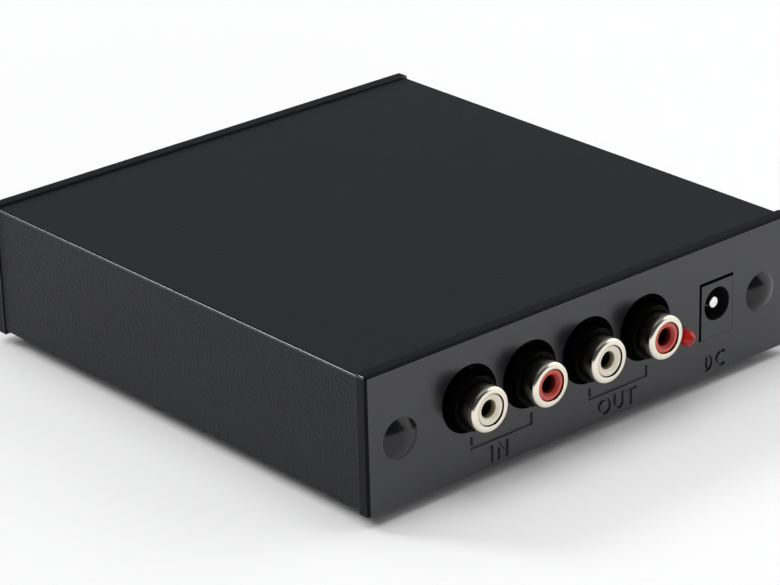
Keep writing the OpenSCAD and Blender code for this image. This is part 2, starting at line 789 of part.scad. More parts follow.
module power_jack_shunt() {
    x_post = x_inlet + post_x;
    z_finger = z_board + tab_h + shunt_gap;
    color("#c9b26a") {
        box_s(x_post - shunt_t, x_post, tab_s - tail_w / 2, tab_s + tail_w / 2, z_wire, z_finger + shunt_t);
        box_s(x_inlet + channel_w / 2 + shunt_room, x_post, tab_s - tail_w / 2, tab_s + tail_w / 2,
            z_finger, z_finger + shunt_t);
    }
}

// ---- Status light ----

module led_lens() {
    color("#d3231f") translate([x_led, y_rear + led_out, z_led]) rotate([90, 0, 0]) {
        translate([0, 0, led_r]) sphere(led_r);
        translate([0, 0, led_r]) cylinder(r = led_r, h = led_body - led_r);
        translate([0, 0, led_body - led_flange_t]) cylinder(r = led_flange_r, h = led_flange_t);
    }
}

module led_leads() {
    half = 0.25;
    color("#b9babb") for (p = led_wires) {
        box_s(p[0] - half, p[0] + half, led_base, led_bend + half, z_led - half, z_led + half);
        box_s(p[0] - half, p[0] + half, led_bend - half, led_bend + half, z_wire, z_led);
    }
}

// ---- Components ----

module opamp(i) {
    color("#1a1a1b") on_board(opamps[i]) difference() {
        translate([-opamp_size[0] / 2, -opamp_size[1] / 2, opamp_lift]) cube(opamp_size);
        translate([0, opamp_size[1] / 2, opamp_lift + opamp_size[2]])
            cylinder(r = 0.8, h = 1, center = true, $fn = 24);
    }
}

module opamp_legs() {
    leg_w = 0.5;
    leg_t = 0.3;
    reach = (opamp_row - opamp_size[0] + leg_t) / 2;
    shoulder = opamp_lift + opamp_size[2] / 2;
    color("#b9babb") for (c = opamps, s = [-1, 1], k = [0 : 3])
        on_board([c[0] + s * opamp_row / 2, c[1] + (k - 1.5) * pin_pitch]) {
            translate([-leg_t / 2, -leg_w / 2, z_wire - z_board])
                cube([leg_t, leg_w, shoulder - z_wire + z_board]);
            translate([s > 0 ? leg_t / 2 - reach : -leg_t / 2, -leg_w / 2, shoulder - leg_t])
                cube([reach, leg_w, leg_t]);
        }
}

// A can with a crimp near its foot and a cross pressed in its top
module can(r, h) {
    waist = r - 0.3;
    shoulder = 0.4;
    difference() {
        rotate_extrude() polygon([
            [0, 0], [r, 0], [r, 0.7], [waist, 1.1], [waist, 1.4], [r, 1.8],
            [r, h - shoulder], [r - shoulder, h], [0, h]
        ]);
        for (turn = [0, 90]) rotate([0, 0, turn]) translate([-r / 2, -0.12, h - 0.15]) cube([r, 0.24, 0.3]);
    }
}

module reservoir_cap(i) {
    color("#24365f") on_board(reservoirs[i]) translate([0, 0, can_lift]) can(reservoir_r, reservoir_h);
}

module coupling_cap(i) {
    color("#24365f") on_board(couplings[i]) translate([0, 0, can_lift]) can(coupling_r, coupling_h);
}

module eq_cap(i) {
    color("#b5532a") on_board(eq_caps[i])
        translate([-eq_size[0] / 2, -eq_size[1] / 2, can_lift]) cube(eq_size);
}

module capacitor_leads() {
    color("#b9babb") for (p = concat(reservoir_wires, coupling_wires, eq_wires)) wire(p, can_lift);
}

module resistors() {
    color("#6fa0b8") for (p = resistor_spots) on_board(p)
        translate([-resistor_len / 2, 0, resistor_r + lying_gap]) rotate([0, 90, 0])
            cylinder(r = resistor_r, h = resistor_len);
}

// A wire that leaves a lying component's end, runs level and turns down through the board
module bent_wire(p, level, run, turn) {
    wire(p, level);
    on_board(p) translate([0, 0, level]) {
        sphere(wire_r, $fn = 24);
        rotate([0, 0, turn]) rotate([0, 90, 0]) cylinder(r = wire_r, h = run, $fn = 24);
    }
}

module resistor_leads() {
    run = (resistor_pitch - resistor_len) / 2;
    color("#b9babb") for (p = resistor_spots) {
        bent_wire([p[0] - resistor_pitch / 2, p[1]], resistor_r + lying_gap, run, 0);
        bent_wire([p[0] + resistor_pitch / 2, p[1]], resistor_r + lying_gap, run, 180);
    }
}

module rectifier_diode() {
    color("#202021") on_board(diode_spot)
        translate([0, diode_len / 2, diode_r + lying_gap]) rotate([90, 0, 0])
            cylinder(r = diode_r, h = diode_len);
}

module diode_leads() {
    run = (diode_pitch - diode_len) / 2;
    color("#b9babb") {
        bent_wire([diode_spot[0], diode_spot[1] - diode_pitch / 2], diode_r + lying_gap, run, 270);
        bent_wire([diode_spot[0], diode_spot[1] + diode_pitch / 2], diode_r + lying_gap, run, 90);
    }
}

module regulator() {
    flat_y = regulator_r * 0.55;
    color("#1a1a1b") on_board(regulator_spot) translate([0, 0, regulator_lift]) difference() {
        cylinder(r = regulator_r, h = regulator_h);
        translate([-regulator_r, flat_y, -cut]) cube([2 * regulator_r, regulator_r, regulator_h + 2 * cut]);
    }
}

module regulator_legs() {
    color("#b9babb") for (p = regulator_wires) wire(p, regulator_lift);
}

module ferrite_beads() {
    color("#3c3a38") for (p = bead_spots) on_board(p)
        translate([0, bead_len / 2, bead_outer_r + lying_gap]) rotate([90, 0, 0]) difference() {
            cylinder(r = bead_outer_r, h = bead_len);
            translate([0, 0, -cut]) cylinder(r = bead_hole_r, h = bead_len + 2 * cut, $fn = 24);
        }
}

module ferrite_wires() {
    color("#b9babb") for (p = bead_spots) {
        bent_wire([p[0], p[1] - bead_pitch / 2], bead_outer_r + lying_gap, bead_pitch, 270);
        bent_wire([p[0], p[1] + bead_pitch / 2], bead_outer_r + lying_gap, bead_pitch / 2, 90);
    }
}

// ---- Nodes ----

sleeve();
front_panel();
rear_panel();
case_screws();
for (i = [0 : 3]) foot(i);
circuit_board();
socket_block();
for (i = [0 : 3]) socket_shell(i);
for (i = [0 : 3]) socket_insert(i);
for (i = [0 : 3]) socket_contact(i);
power_jack_body();
power_jack_pin();
power_jack_spring();
power_jack_spring_root();
power_jack_shunt();
led_lens();
led_leads();
for (i = [0 : 1]) opamp(i);
opamp_legs();
for (i = [0 : 1]) reservoir_cap(i);
for (i = [0 : 3]) coupling_cap(i);
for (i = [0 : 3]) eq_cap(i);
capacitor_leads();
resistors();
resistor_leads();
rectifier_diode();
diode_leads();
regulator();
regulator_legs();
ferrite_beads();
ferrite_wires();
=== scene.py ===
from math import atan2, cos, degrees, hypot, pi, radians, sin, sqrt

import bmesh
import bpy
from mathutils import Matrix, Vector


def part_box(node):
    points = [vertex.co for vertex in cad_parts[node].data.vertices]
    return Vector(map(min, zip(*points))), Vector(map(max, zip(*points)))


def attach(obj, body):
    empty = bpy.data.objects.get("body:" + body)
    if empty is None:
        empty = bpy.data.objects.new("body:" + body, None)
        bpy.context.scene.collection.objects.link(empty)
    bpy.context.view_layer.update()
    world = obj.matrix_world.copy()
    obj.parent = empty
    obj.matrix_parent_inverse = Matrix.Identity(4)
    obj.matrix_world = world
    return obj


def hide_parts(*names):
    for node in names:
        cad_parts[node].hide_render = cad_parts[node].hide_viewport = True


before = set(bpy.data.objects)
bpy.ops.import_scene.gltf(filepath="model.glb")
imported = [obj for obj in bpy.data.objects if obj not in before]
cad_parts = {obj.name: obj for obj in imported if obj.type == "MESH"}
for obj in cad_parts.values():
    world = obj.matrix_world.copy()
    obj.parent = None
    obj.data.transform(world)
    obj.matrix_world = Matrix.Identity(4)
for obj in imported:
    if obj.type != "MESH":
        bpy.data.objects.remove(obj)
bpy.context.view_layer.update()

# A small desktop phono preamp. Meshes are drawn in millimetres and stored in metres, in the
# part's own frame: the sockets face +Y, the plain front faces -Y and Z = 0 is the table.

MM = 0.001


def span(node):
    """Lowest and highest corner of a solid of the frame, in millimetres."""
    low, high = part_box(node)
    return low / MM, high / MM


def numbered(kind, count):
    """Names that end in _1, _2 and so on."""
    return ["%s_%d" % (kind, n + 1) for n in range(count)]


# ---- Places, read from the frame, and sizes, all in millimetres ----

CASE_LOW, CASE_HIGH = span("rear_panel")
SLEEVE_LOW, SLEEVE_HIGH = span("sleeve")
FRONT_LOW, _ = span("front_panel")
BLOCK_LOW, BLOCK_HIGH = span("socket_block")
INLET_LOW, INLET_HIGH = span("power_jack_body")
PIN_LOW, PIN_HIGH = span("power_jack_pin")
LENS_LOW, LENS_HIGH = span("led_lens")

# The rear panel's solid ends at the crowns of its domed buttons, not at its flat face
BUTTON_OUT = 1.2
Y_REAR = CASE_HIGH.y - BUTTON_OUT
Y_FRONT = FRONT_LOW.y

# Sleeve and end panels
CASE_W = CASE_HIGH.x - CASE_LOW.x
CASE_H = CASE_HIGH.z - CASE_LOW.z
CASE_MID_Z = (CASE_LOW.z + CASE_HIGH.z) / 2
WALL = 2.0
SLEEVE_EDGE_R = 0.4
SLEEVE_END_R = 0.2
PANEL_T = Y_REAR - SLEEVE_HIGH.y
PANEL_EDGE_R = 0.5
PANEL_BACK_R = 0.15
SLIDE_GAP = 0.15
UPPER_LIP_D = 4
LOWER_LIP_D = 2
PANEL_LIP_T = 1.5
BOARD_Z = INLET_LOW.z
BOARD_T = 1.6
RAIL_D = 2.2
RAIL_T = 1.2

# Phono sockets; _OUT is measured outwards from the panel's face, _END inwards
SOCKET_N = 4
SHELLS = numbered("socket_shell", SOCKET_N)
INSERTS = numbered("socket_insert", SOCKET_N)
SOCKET_X = [(span(name)[0].x + span(name)[1].x) / 2 for name in SHELLS]
LIP_R = span(SHELLS[0])[1].x - SOCKET_X[0]
SOCKET_Z = span(SHELLS[0])[1].z - LIP_R
SOCKET_OUT = span(SHELLS[0])[1].y - Y_REAR
OPENING_R = 6.2
OPENING_Z = SOCKET_Z + 0.35
BLOCK_FRONT = 2.8
COLLAR_R = 4.95
COLLAR_OUT = BLOCK_HIGH.y - Y_REAR
COLLAR_EDGE_R = 0.22
SHELL_R = 3.95
SHELL_END = 7.4
SHELL_WALL = 0.4
LIP_BEAD = 1.3
LIP_W = 1.25
LIP_ROUND = 0.65
LIP_MOUTH_R = 0.2
LIP_BACK_R = 0.12
INSERT_R = 3.5
INSERT_RECESS = 0.25
INSERT_LEN = 4.0
INSERT_MOUTH = 0.5
BORE_FADE = 1.9
PLUG_PIN_R = 1.65
CONTACT_ROOM_R = 1.9
CONTACT_ROOM_END = 13
TAIL_Y = Y_REAR - SHELL_END + 1
TAIL_R = 0.4
TAIL_HOLE_R = 0.6
RELIEF_W = 1.0
RELIEF_D = 2

# Status light
LED_X = (LENS_LOW.x + LENS_HIGH.x) / 2
LED_Z = (LENS_LOW.z + LENS_HIGH.z) / 2
LED_R = 1.5
LED_OUT = LENS_HIGH.y - Y_REAR - 0.4
LED_FLANGE_R = LED_R + 0.4
LED_FLANGE_T = 1.0
LED_SEAT_R = 2.0
LED_SEAT_END = 0.7

# Power inlet; its cut-out is open towards the sockets and above, and tight on the other sides
INLET_X = (INLET_LOW.x + INLET_HIGH.x) / 2
INLET_Z = INLET_LOW.z + 6.3
INLET_W = INLET_HIGH.x - INLET_LOW.x
INLET_TRIM = 0.15
INLET_R = 3.15
INLET_BORE_D = 10.0
GAP_OPEN = 0.5
GAP_TIGHT = -0.02
PIN_R = 1.05
PIN_TIP = PIN_HIGH.y - Y_REAR + 0.4
SHANK_R = 1.25
SHANK_HOLE_D = 15
BLADE_W = 2.4
BLADE_ROOM = 0.3
BLADE_POST = 1.4

# Domed buttons and engraving
BUTTON_R = 3.8
BUTTON_ROOT = 0.6
BUTTON_X = CASE_W / 2 - 7.35
BUTTON_Z = CASE_LOW.z + 12.7
MARK_W = 0.55
MARK_DEPTH = 0.35
BRACKET_DROP = 2.95
BRACKET_H = 2.35
LETTER_H = 2.7
LETTER_DROP = 1.05

# Screws beneath, and the bosses that they bite into
SCREW_IN = 4.5
SCREW_X = CASE_W / 2 - 9
SCREW_Y = [SLEEVE_LOW.y + SCREW_IN, SLEEVE_HIGH.y - SCREW_IN]
SCREW_HEAD_R = 2.4
SCREW_HOLE_R = 1.5
SCREW_SINK = 1.15
BOSS_W = 7.6
BOSS_H = 8.0
PILOT_R = 1.3
PILOT_D = 5.0


# ---- Outlines ----

def arc(cx, cy, r, start, end, steps):
    """Points on an arc, with its angles in degrees."""
    turns = [radians(start + (end - start) * k / steps) for k in range(steps + 1)]
    return [(cx + r * cos(t), cy + r * sin(t)) for t in turns]


def rounded(corners, steps=6):
    """A closed outline through corners (x, y, radius), each with its round."""
    points = []
    count = len(corners)
    for k, (x, y, r) in enumerate(corners):
        if r <= 0:
            points.append((x, y))
            continue
        here = Vector((x, y))
        before = (Vector(corners[k - 1][:2]) - here).normalized()
        after = (Vector(corners[(k + 1) % count][:2]) - here).normalized()
        half = before.angle(after) / 2
        reach = r / abs(sin(half) / cos(half))
        centre = here + (before + after).normalized() * (r / sin(half))
        first = here + before * reach - centre
        last = here + after * reach - centre
        turn = first.angle_signed(last)
        for n in range(steps + 1):
            swing = Matrix.Rotation(-turn * n / steps, 2)
            points.append(tuple(centre + swing @ first))
    return points


def rectangle(cx, cy, w, h, r=0.0, steps=4):
    """A rectangle about (cx, cy) with round corners."""
    x0, x1, y0, y1 = cx - w / 2, cx + w / 2, cy - h / 2, cy + h / 2
    return rounded([(x0, y0, r), (x1, y0, r), (x1, y1, r), (x0, y1, r)], steps)


# ---- Meshes ----

def put(name, data):
    """A new object of a mesh, light or camera, in the scene."""
    thing = bpy.data.objects.new(name, data)
    bpy.context.scene.collection.objects.link(thing)
    return thing


def new_mesh(name, verts, faces):
    """A piece of these corners and faces, with its normals outwards."""
    mesh = bpy.data.meshes.new(name)
    mesh.from_pydata([tuple(v) for v in verts], [], faces)
    shape = bmesh.new()
    shape.from_mesh(mesh)
    bmesh.ops.remove_doubles(shape, verts=shape.verts, dist=1e-6)
    bmesh.ops.recalc_face_normals(shape, faces=shape.faces)
    shape.to_mesh(mesh)
    shape.free()
    return put(name, mesh)


def tidy(piece):
    """Drops doubled corners and faces without area."""
    shape = bmesh.new()
    shape.from_mesh(piece.data)
    bmesh.ops.remove_doubles(shape, verts=shape.verts, dist=1e-5)
    bmesh.ops.dissolve_degenerate(shape, dist=1e-5, edges=shape.edges)
    bmesh.ops.recalc_face_normals(shape, faces=shape.faces)
    shape.to_mesh(piece.data)
    shape.free()
    return piece


def loft(name, loops):
    """A closed solid through loops of equal length, with flat ends."""
    size = len(loops[0])
    verts = [v for loop in loops for v in loop]
    faces = [list(range(size)), [size * (len(loops) - 1) + k for k in range(size)][::-1]]
    for row in range(len(loops) - 1):
        for k in range(size):
            a = row * size + k
            b = row * size + (k + 1) % size
            faces.append([a, b, b + size, a + size])
    return new_mesh(name, verts, faces)


def lathe(name, outline, x, z, y=Y_REAR, steps=96):
    """Turns a closed outline of (radius, distance out from y) about an axis along Y."""
    verts = []
    for k in range(steps):
        t = 2 * pi * k / steps
        verts += [(x + r * cos(t), y + out, z + r * sin(t)) for r, out in outline]
    size = len(outline)
    faces = []
    for k in range(steps):
        row, after = k * size, ((k + 1) % steps) * size
        for n in range(size):
            m = (n + 1) % size
            if outline[n][0] < 1e-6 and outline[m][0] < 1e-6:
                continue
            faces.append([row + n, row + m, after + m, after + n])
    return tidy(new_mesh(name, verts, faces))


def upright(name, outline, x, y, z=0, steps=24):
    """Turns a closed outline of (radius, height above z) about a vertical axis."""
    piece = lathe(name, outline, 0, 0, 0, steps)
    piece.data.transform(Matrix.Translation((x, y, z)) @ Matrix.Rotation(pi / 2, 4, "X"))
    return piece


def block(name, low, high, edge_r=0.0, steps=4):
    """A box between two corners with round edges."""
    shape = bmesh.new()
    bmesh.ops.create_cube(shape, size=1)
    low, high = Vector(low), Vector(high)
    for vert in shape.verts:
        vert.co = Vector([(low[k] + high[k]) / 2 + vert.co[k] * (high[k] - low[k])
                          for k in range(3)])
    if edge_r:
        bmesh.ops.bevel(shape, geom=shape.edges[:], offset=edge_r, offset_type="OFFSET",
                        segments=steps, profile=0.5, affect="EDGES")
    mesh = bpy.data.meshes.new(name)
    shape.to_mesh(mesh)
    shape.free()
    return put(name, mesh)


def settle(piece):
    """Makes a piece's modifiers part of its mesh."""
    bpy.context.view_layer.update()
    shown = piece.evaluated_get(bpy.context.evaluated_depsgraph_get())
    solid = bpy.data.meshes.new_from_object(shown)
    piece.modifiers.clear()
    piece.data = solid


def combine(piece, others, how):
    """Adds the other solids to a piece, or cuts them from it, and deletes them."""
    group = bpy.data.collections.new("tools")
    bpy.context.scene.collection.children.link(group)
    for other in others:
        group.objects.link(other)
    change = piece.modifiers.new("change", "BOOLEAN")
    change.operation = how
    change.solver = "EXACT"
    change.operand_type = "COLLECTION"
    change.collection = group
    settle(piece)
    for other in others:
        bpy.data.objects.remove(other)
    bpy.data.collections.remove(group)
    return tidy(piece)


def well_levels(depth, mouth_r, floor_r=0.0, steps=4):
    """How a cut widens from its floor to its mouth, as (offset, height) against the face."""
    past_mouth = 0.06
    levels = []
    for k in range(steps + 1 if floor_r else 1):
        t = radians(90 * k / steps)
        levels.append((-floor_r * (1 - sin(t)), -depth + floor_r * (1 - cos(t))))
    for k in range(steps):
        t = radians(90 * k / steps)
        levels.append((mouth_r * (1 - cos(t)), -mouth_r * (1 - sin(t))))
    levels.append((mouth_r * 1.1, past_mouth))
    return levels


def well(name, outline, levels, y=Y_REAR):
    """A cutter: an outline in X and Z that grows by each level's offset."""
    return loft(name, [[(px, y + out, pz) for px, pz in outline(off)] for off, out in levels])


def finish_shape(piece, sharp=35, even_flats=True):
    """Stores a piece in metres, smooth up to the sharp angle; even_flats keeps flat faces flat."""
    piece.data.transform(Matrix.Scale(MM, 4))
    for face in piece.data.polygons:
        face.use_smooth = True
    piece.data.set_sharp_from_angle(angle=radians(sharp))
    if even_flats:
        even = piece.modifiers.new("even", "WEIGHTED_NORMAL")
        even.keep_sharp = True
        even.weight = 80
        settle(piece)


def dress(piece, materials, slot, *nodes):
    """Gives a piece its materials, and puts it in place of its solids; slot is not used."""
    for material in materials:
        piece.data.materials.append(material)
    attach(piece, "case")
    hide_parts(*nodes)


# ---- Shader expressions ----

class Wire:
    """A shader socket that takes part in sums; each sum adds a Math node."""

    def __init__(self, tree, socket):
        self.tree = tree
        self.socket = socket

    def math(self, operation, *values):
        """What a Math node makes of these values, which are numbers or wires."""
        node = self.tree.nodes.new("ShaderNodeMath")
        node.operation = operation
        for place, value in zip(node.inputs, values):
            feed(self.tree, place, value)
        return Wire(self.tree, node.outputs[0])

    def __add__(self, other):
        return self.math("ADD", self, other)

    def __radd__(self, other):
        return self.math("ADD", other, self)

    def __sub__(self, other):
        return self.math("SUBTRACT", self, other)

    def __rsub__(self, other):
        return self.math("SUBTRACT", other, self)

    def __mul__(self, other):
        return self.math("MULTIPLY", self, other)

    def __rmul__(self, other):
        return self.math("MULTIPLY", other, self)

    def __truediv__(self, other):
        return self.math("DIVIDE", self, other)

    def __gt__(self, other):
        return self.math("GREATER_THAN", self, other)

    def __abs__(self):
        return self.math("ABSOLUTE", self)


def feed(tree, place, value):
    """Links a wire to a socket, or sets the socket's own value."""
    if isinstance(value, Wire):
        tree.links.new(value.socket, place)
    else:
        place.default_value = value


class Finish:
    """A material under construction."""

    def __init__(self, name):
        self.material = bpy.data.materials.new(name)
        self.material.use_nodes = True
        self.tree = self.material.node_tree
        self.skin = self.tree.nodes["Principled BSDF"]

    def node(self, kind, settings=None, sockets=None, out=0):
        """Any node: its type, its settings, then the values or wires of its sockets. Gives the
        output named by out, or a list of outputs if out is one."""
        node = self.tree.nodes.new(kind)
        for name, value in (settings or {}).items():
            setattr(node, name, value)
        for name, value in (sockets or {}).items():
            feed(self.tree, node.inputs[name], value)
        if isinstance(out, list):
            return [Wire(self.tree, node.outputs[name]) for name in out]
        return Wire(self.tree, node.outputs[out])

    def split(self, vector):
        """X, Y and Z of a vector."""
        return self.node("ShaderNodeSeparateXYZ", None, {0: vector}, [0, 1, 2])

    def place(self):
        """The point on the object, in metres."""
        return self.node("ShaderNodeTexCoord", out="Object")

    def place_mm(self):
        """X, Y and Z of the point on the object, in millimetres."""
        return [part / MM for part in self.split(self.place())]

    def facing(self):
        """X, Y and Z of the way the surface faces, from -1 to 1."""
        return self.split(self.node("ShaderNodeTexCoord", out="Normal"))

    def grid(self, size_mm, stretch=(1, 1, 1)):
        """The point on the object in steps of size_mm."""
        return self.node("ShaderNodeMapping", None, {
            "Vector": self.place(), "Scale": tuple(s / (size_mm * MM) for s in stretch)})

    def noise(self, size_mm, detail=2.0, roughness=0.5, stretch=(1, 1, 1)):
        """Noise with features about size_mm across."""
        return self.node("ShaderNodeTexNoise", None, {
            "Vector": self.grid(size_mm, stretch), "Scale": 1.0, "Detail": detail,
            "Roughness": roughness}, out="Fac")

    def cells(self, size_mm):
        """Rounded cells about size_mm across; 0 at their middles."""
        return self.node("ShaderNodeTexVoronoi", {"feature": "SMOOTH_F1"}, {
            "Vector": self.grid(size_mm), "Scale": 1.0, "Randomness": 1.0,
            "Smoothness": 0.7}, out="Distance")

    def mix(self, share, low, high):
        """A colour between two colours."""
        ends = [end if isinstance(end, Wire) else (*end, 1.0) for end in (low, high)]
        return self.node("ShaderNodeMix", {"data_type": "RGBA"},
                         {"Factor": share, 6: ends[0], 7: ends[1]}, 2)

    def relief(self, height, depth_mm, strength=1.0):
        """A bump of a height map; depth is the relief of a full step from 0 to 1."""
        return self.node("ShaderNodeBump", None, {
            "Height": height, "Distance": depth_mm * MM, "Strength": strength})

    def set(self, **values):
        """Sets the surface: words joined by _ name its sockets. Gives the material."""
        for name, value in values.items():
            place = self.skin.inputs[name.replace("_", " ")]
            if not isinstance(value, Wire) and place.type == "RGBA":
                value = (*value, 1.0)
            feed(self.tree, place, value)
        return self.material


# ---- Materials ----

def coat_material():
    """Powder coat with a fine leather grain, over the sleeve; calmer on top than at the sides."""
    f = Finish("grained_coat")
    creases = f.cells(0.36)
    wrinkle = f.noise(0.34, 2.0, 0.6)
    fine = f.noise(0.2, 2.0)
    cloud = f.noise(14, 2.0)
    _, _, up = f.facing()
    grain = (creases * 0.8 + wrinkle + fine * 0.3) * (1 - 0.6 * abs(up))
    return f.set(
        Base_Color=f.mix(cloud * 0.5 + fine * 0.5,
                         (0.0075, 0.0085, 0.011), (0.0115, 0.0125, 0.0155)),
        Roughness=0.4 + 0.12 * fine,
        Normal=f.relief(grain, 0.16),
        Specular_IOR_Level=0.238)


def edge_material():
    """Painted highlight on the coat's long upper edges, which catch the light: a lighter, glossier
    copy of the coat.
    """
    f = Finish("edge_painted_highlight")
    # The wear noise here only varies the painted highlight in patches along the edge
    wear = f.noise(2.5, 3.0, 0.6, stretch=(1, 0.25, 1))
    fine = f.noise(0.3, 2.0)
    return f.set(
        Base_Color=f.mix(wear, (0.010, 0.0102, 0.0115), (0.022, 0.022, 0.023)),
        Roughness=0.17 + 0.08 * fine + 0.05 * wear,
        Normal=f.relief(fine, 0.006, 0.5),
        Specular_IOR_Level=1.0)


def panel_material():
    """Satin moulded plastic."""
    f = Finish("satin_panel")
    fine = f.noise(0.35, 2.0)
    cloud = f.noise(22, 2.0)
    return f.set(
        Base_Color=f.mix(cloud * 0.6 + fine * 0.4,
                         (0.0075, 0.0085, 0.0125), (0.0105, 0.0115, 0.016)),
        Roughness=0.22 + 0.06 * fine,
        Normal=f.relief(fine, 0.003, 0.5),
        Specular_IOR_Level=0.7)


def button_material():
    """The domed buttons, moulded like the panel but smoother."""
    f = Finish("button")
    fine = f.noise(0.35, 2.0)
    return f.set(
        Base_Color=f.mix(fine, (0.004, 0.0043, 0.006), (0.0055, 0.006, 0.008)),
        Roughness=0.17 + 0.05 * fine,
        Specular_IOR_Level=0.4)


def panel_top_material():
    """The panels' narrow upper faces and ends: a darker, duller copy of the front's finish, as
    painted shade.
    """
    f = Finish("panel_top")
    fine = f.noise(0.35, 2.0)
    return f.set(
        Base_Color=f.mix(fine, (0.004, 0.0045, 0.0065), (0.006, 0.0065, 0.009)),
        Roughness=0.35 + 0.08 * fine,
        Normal=f.relief(fine, 0.003, 0.5),
        Specular_IOR_Level=0.12)


def gap_material():
    """Painted shade: a near-black finish for the walls of narrow gaps, where little light gets in.
    """
    f = Finish("gap_wall")
    fine = f.noise(0.3, 2.0)
    return f.set(
        Base_Color=f.mix(fine, (0.0008, 0.0008, 0.0009), (0.0014, 0.0014, 0.0015)),
        Roughness=0.6 + 0.1 * fine,
        Specular_IOR_Level=0.02)


def rim_material():
    """Painted shade on the panels' narrow rounded rim: smooth and near black."""
    f = Finish("panel_rim")
    fine = f.noise(0.3, 2.0)
    return f.set(
        Base_Color=f.mix(fine, (0.002, 0.002, 0.0022), (0.004, 0.004, 0.0044)),
        Roughness=0.3 + 0.1 * fine,
        Specular_IOR_Level=0.08)


def rubber_material():
    """Dull black rubber of the feet."""
    f = Finish("foot_rubber")
    fine = f.noise(0.4, 3.0)
    return f.set(
        Base_Color=f.mix(fine, (0.011, 0.011, 0.0115), (0.02, 0.02, 0.021)),
        Roughness=0.75 + 0.15 * fine,
        Normal=f.relief(fine, 0.02, 0.5),
        Specular_IOR_Level=0.3)


def gloss_black_material():
    """The sockets' glossy black collars."""
    f = Finish("gloss_black")
    wave = f.noise(1.6, 1.0)
    return f.set(
        Base_Color=f.mix(wave, (0.001, 0.001, 0.001), (0.0015, 0.0015, 0.0015)),
        Roughness=0.12 + 0.1 * wave,
        Specular_IOR_Level=0.03)


def plated_material(name, light, dark, rough):
    """Plated metal with faint wear."""
    f = Finish(name)
    wear = f.noise(0.5, 3.0, 0.6)
    blot = f.noise(2.5, 2.0)
    return f.set(
        Base_Color=f.mix(wear * 0.5 + blot * 0.5, dark, light),
        Metallic=1.0,
        Roughness=rough + 0.1 * wear)


def moulded_material(name, low, high, rough=0.35, level=0.5):
    """A coloured moulding with a slight mottle."""
    f = Finish(name)
    fine = f.noise(0.3, 2.0)
    blot = f.noise(2.2, 2.0)
    return f.set(
        Base_Color=f.mix(fine * 0.4 + blot * 0.6, low, high),
        Roughness=rough + 0.1 * fine,
        Normal=f.relief(fine, 0.006, 0.4),
        Specular_IOR_Level=level)


def bore_material(name, mouth, deep):
    """The wall of an insert's hole, with painted shade that darkens it inwards."""
    f = Finish(name)
    fine = f.noise(0.3, 2.0)
    _, y, _ = f.place_mm()
    # Painted shade: the colour goes from the mouth colour to near black with depth into the hole
    depth = (Y_REAR + SOCKET_OUT - INSERT_RECESS - y) / BORE_FADE
    shade = depth.math("MINIMUM", depth + fine * 0.1, 1.0)
    return f.set(
        Base_Color=f.mix(shade, mouth, deep),
        Roughness=0.4 + 0.1 * fine,
        Specular_IOR_Level=0.3)


def lens_material():
    """Tinted resin of the status light, with the dark die showing at its middle."""
    f = Finish("red_lens")
    swirl = f.noise(1.1, 2.0)
    x, _, z = f.place_mm()
    across, up = x - LED_X, z - LED_Z
    middle = 1 - (across * across + up * up) / 0.9
    die = middle.math("MAXIMUM", middle, 0.0)
    resin = f.mix(swirl, (0.44, 0.010, 0.008), (0.54, 0.015, 0.012))
    return f.set(
        Base_Color=f.mix(die * 0.8, resin, (0.12, 0.003, 0.003)),
        Roughness=0.1 + 0.06 * swirl,
        Specular_IOR_Level=0.45)


def board_material():
    """Green solder mask over tracks."""
    f = Finish("circuit_board")
    lanes = f.noise(3.0, 0.0, stretch=(1, 0.15, 1)) * 9
    tracks = abs(lanes.math("FRACT", lanes) - 0.5) > 0.32
    weave = f.noise(0.25, 1.0)
    return f.set(
        Base_Color=f.mix(tracks * 0.7 + weave * 0.2, (0.006, 0.055, 0.024), (0.02, 0.13, 0.055)),
        Roughness=0.3 + 0.15 * weave,
        Normal=f.relief(tracks, 0.03, 0.5))


def can_material():
    """Shrink sleeve of the round capacitors, with a pale stripe down one side."""
    f = Finish("can_sleeve")
    sideways, _, _ = f.facing()
    fine = f.noise(0.4, 2.0)
    film = f.mix(fine, (0.006, 0.014, 0.05), (0.01, 0.022, 0.07))
    return f.set(
        Base_Color=f.mix(sideways > 0.93, film, (0.5, 0.5, 0.5)),
        Roughness=0.28 + 0.1 * fine)


def resistor_material():
    """Pale lacquer with painted bands."""
    f = Finish("resistor_lacquer")
    x, _, _ = f.place_mm()
    along = (x - 22) * 0.9
    bands = abs(along.math("SINE", along * 3.2)) > 0.86
    fine = f.noise(0.3, 2.0)
    lacquer = f.mix(fine, (0.12, 0.3, 0.42), (0.17, 0.37, 0.48))
    return f.set(
        Base_Color=f.mix(bands, lacquer, (0.16, 0.05, 0.02)),
        Roughness=0.3 + 0.15 * fine)


# Case
COAT = coat_material()
EDGE = edge_material()
PANEL = panel_material()
PANEL_TOP = panel_top_material()
RIM = rim_material()
GAP = gap_material()
BUTTON = button_material()
RUBBER = rubber_material()

# Metals
NICKEL = plated_material("shell_plate", (0.93, 0.87, 0.75), (0.84, 0.77, 0.64), 0.15)
# The shell behind its lip: the nickel plating painted dark olive, as painted shade
BARREL = plated_material("shell_barrel", (0.34, 0.305, 0.225), (0.24, 0.215, 0.155), 0.2)
BRIGHT = plated_material("pin_plate", (0.98, 0.98, 0.97), (0.95, 0.95, 0.94), 0.25)
BRASS = plated_material("contact_brass", (0.72, 0.56, 0.28), (0.6, 0.45, 0.2), 0.3)
ZINC = plated_material("screw_zinc", (0.5, 0.5, 0.52), (0.38, 0.38, 0.4), 0.35)
TIN = plated_material("wire_tin", (0.7, 0.7, 0.7), (0.58, 0.58, 0.58), 0.35)

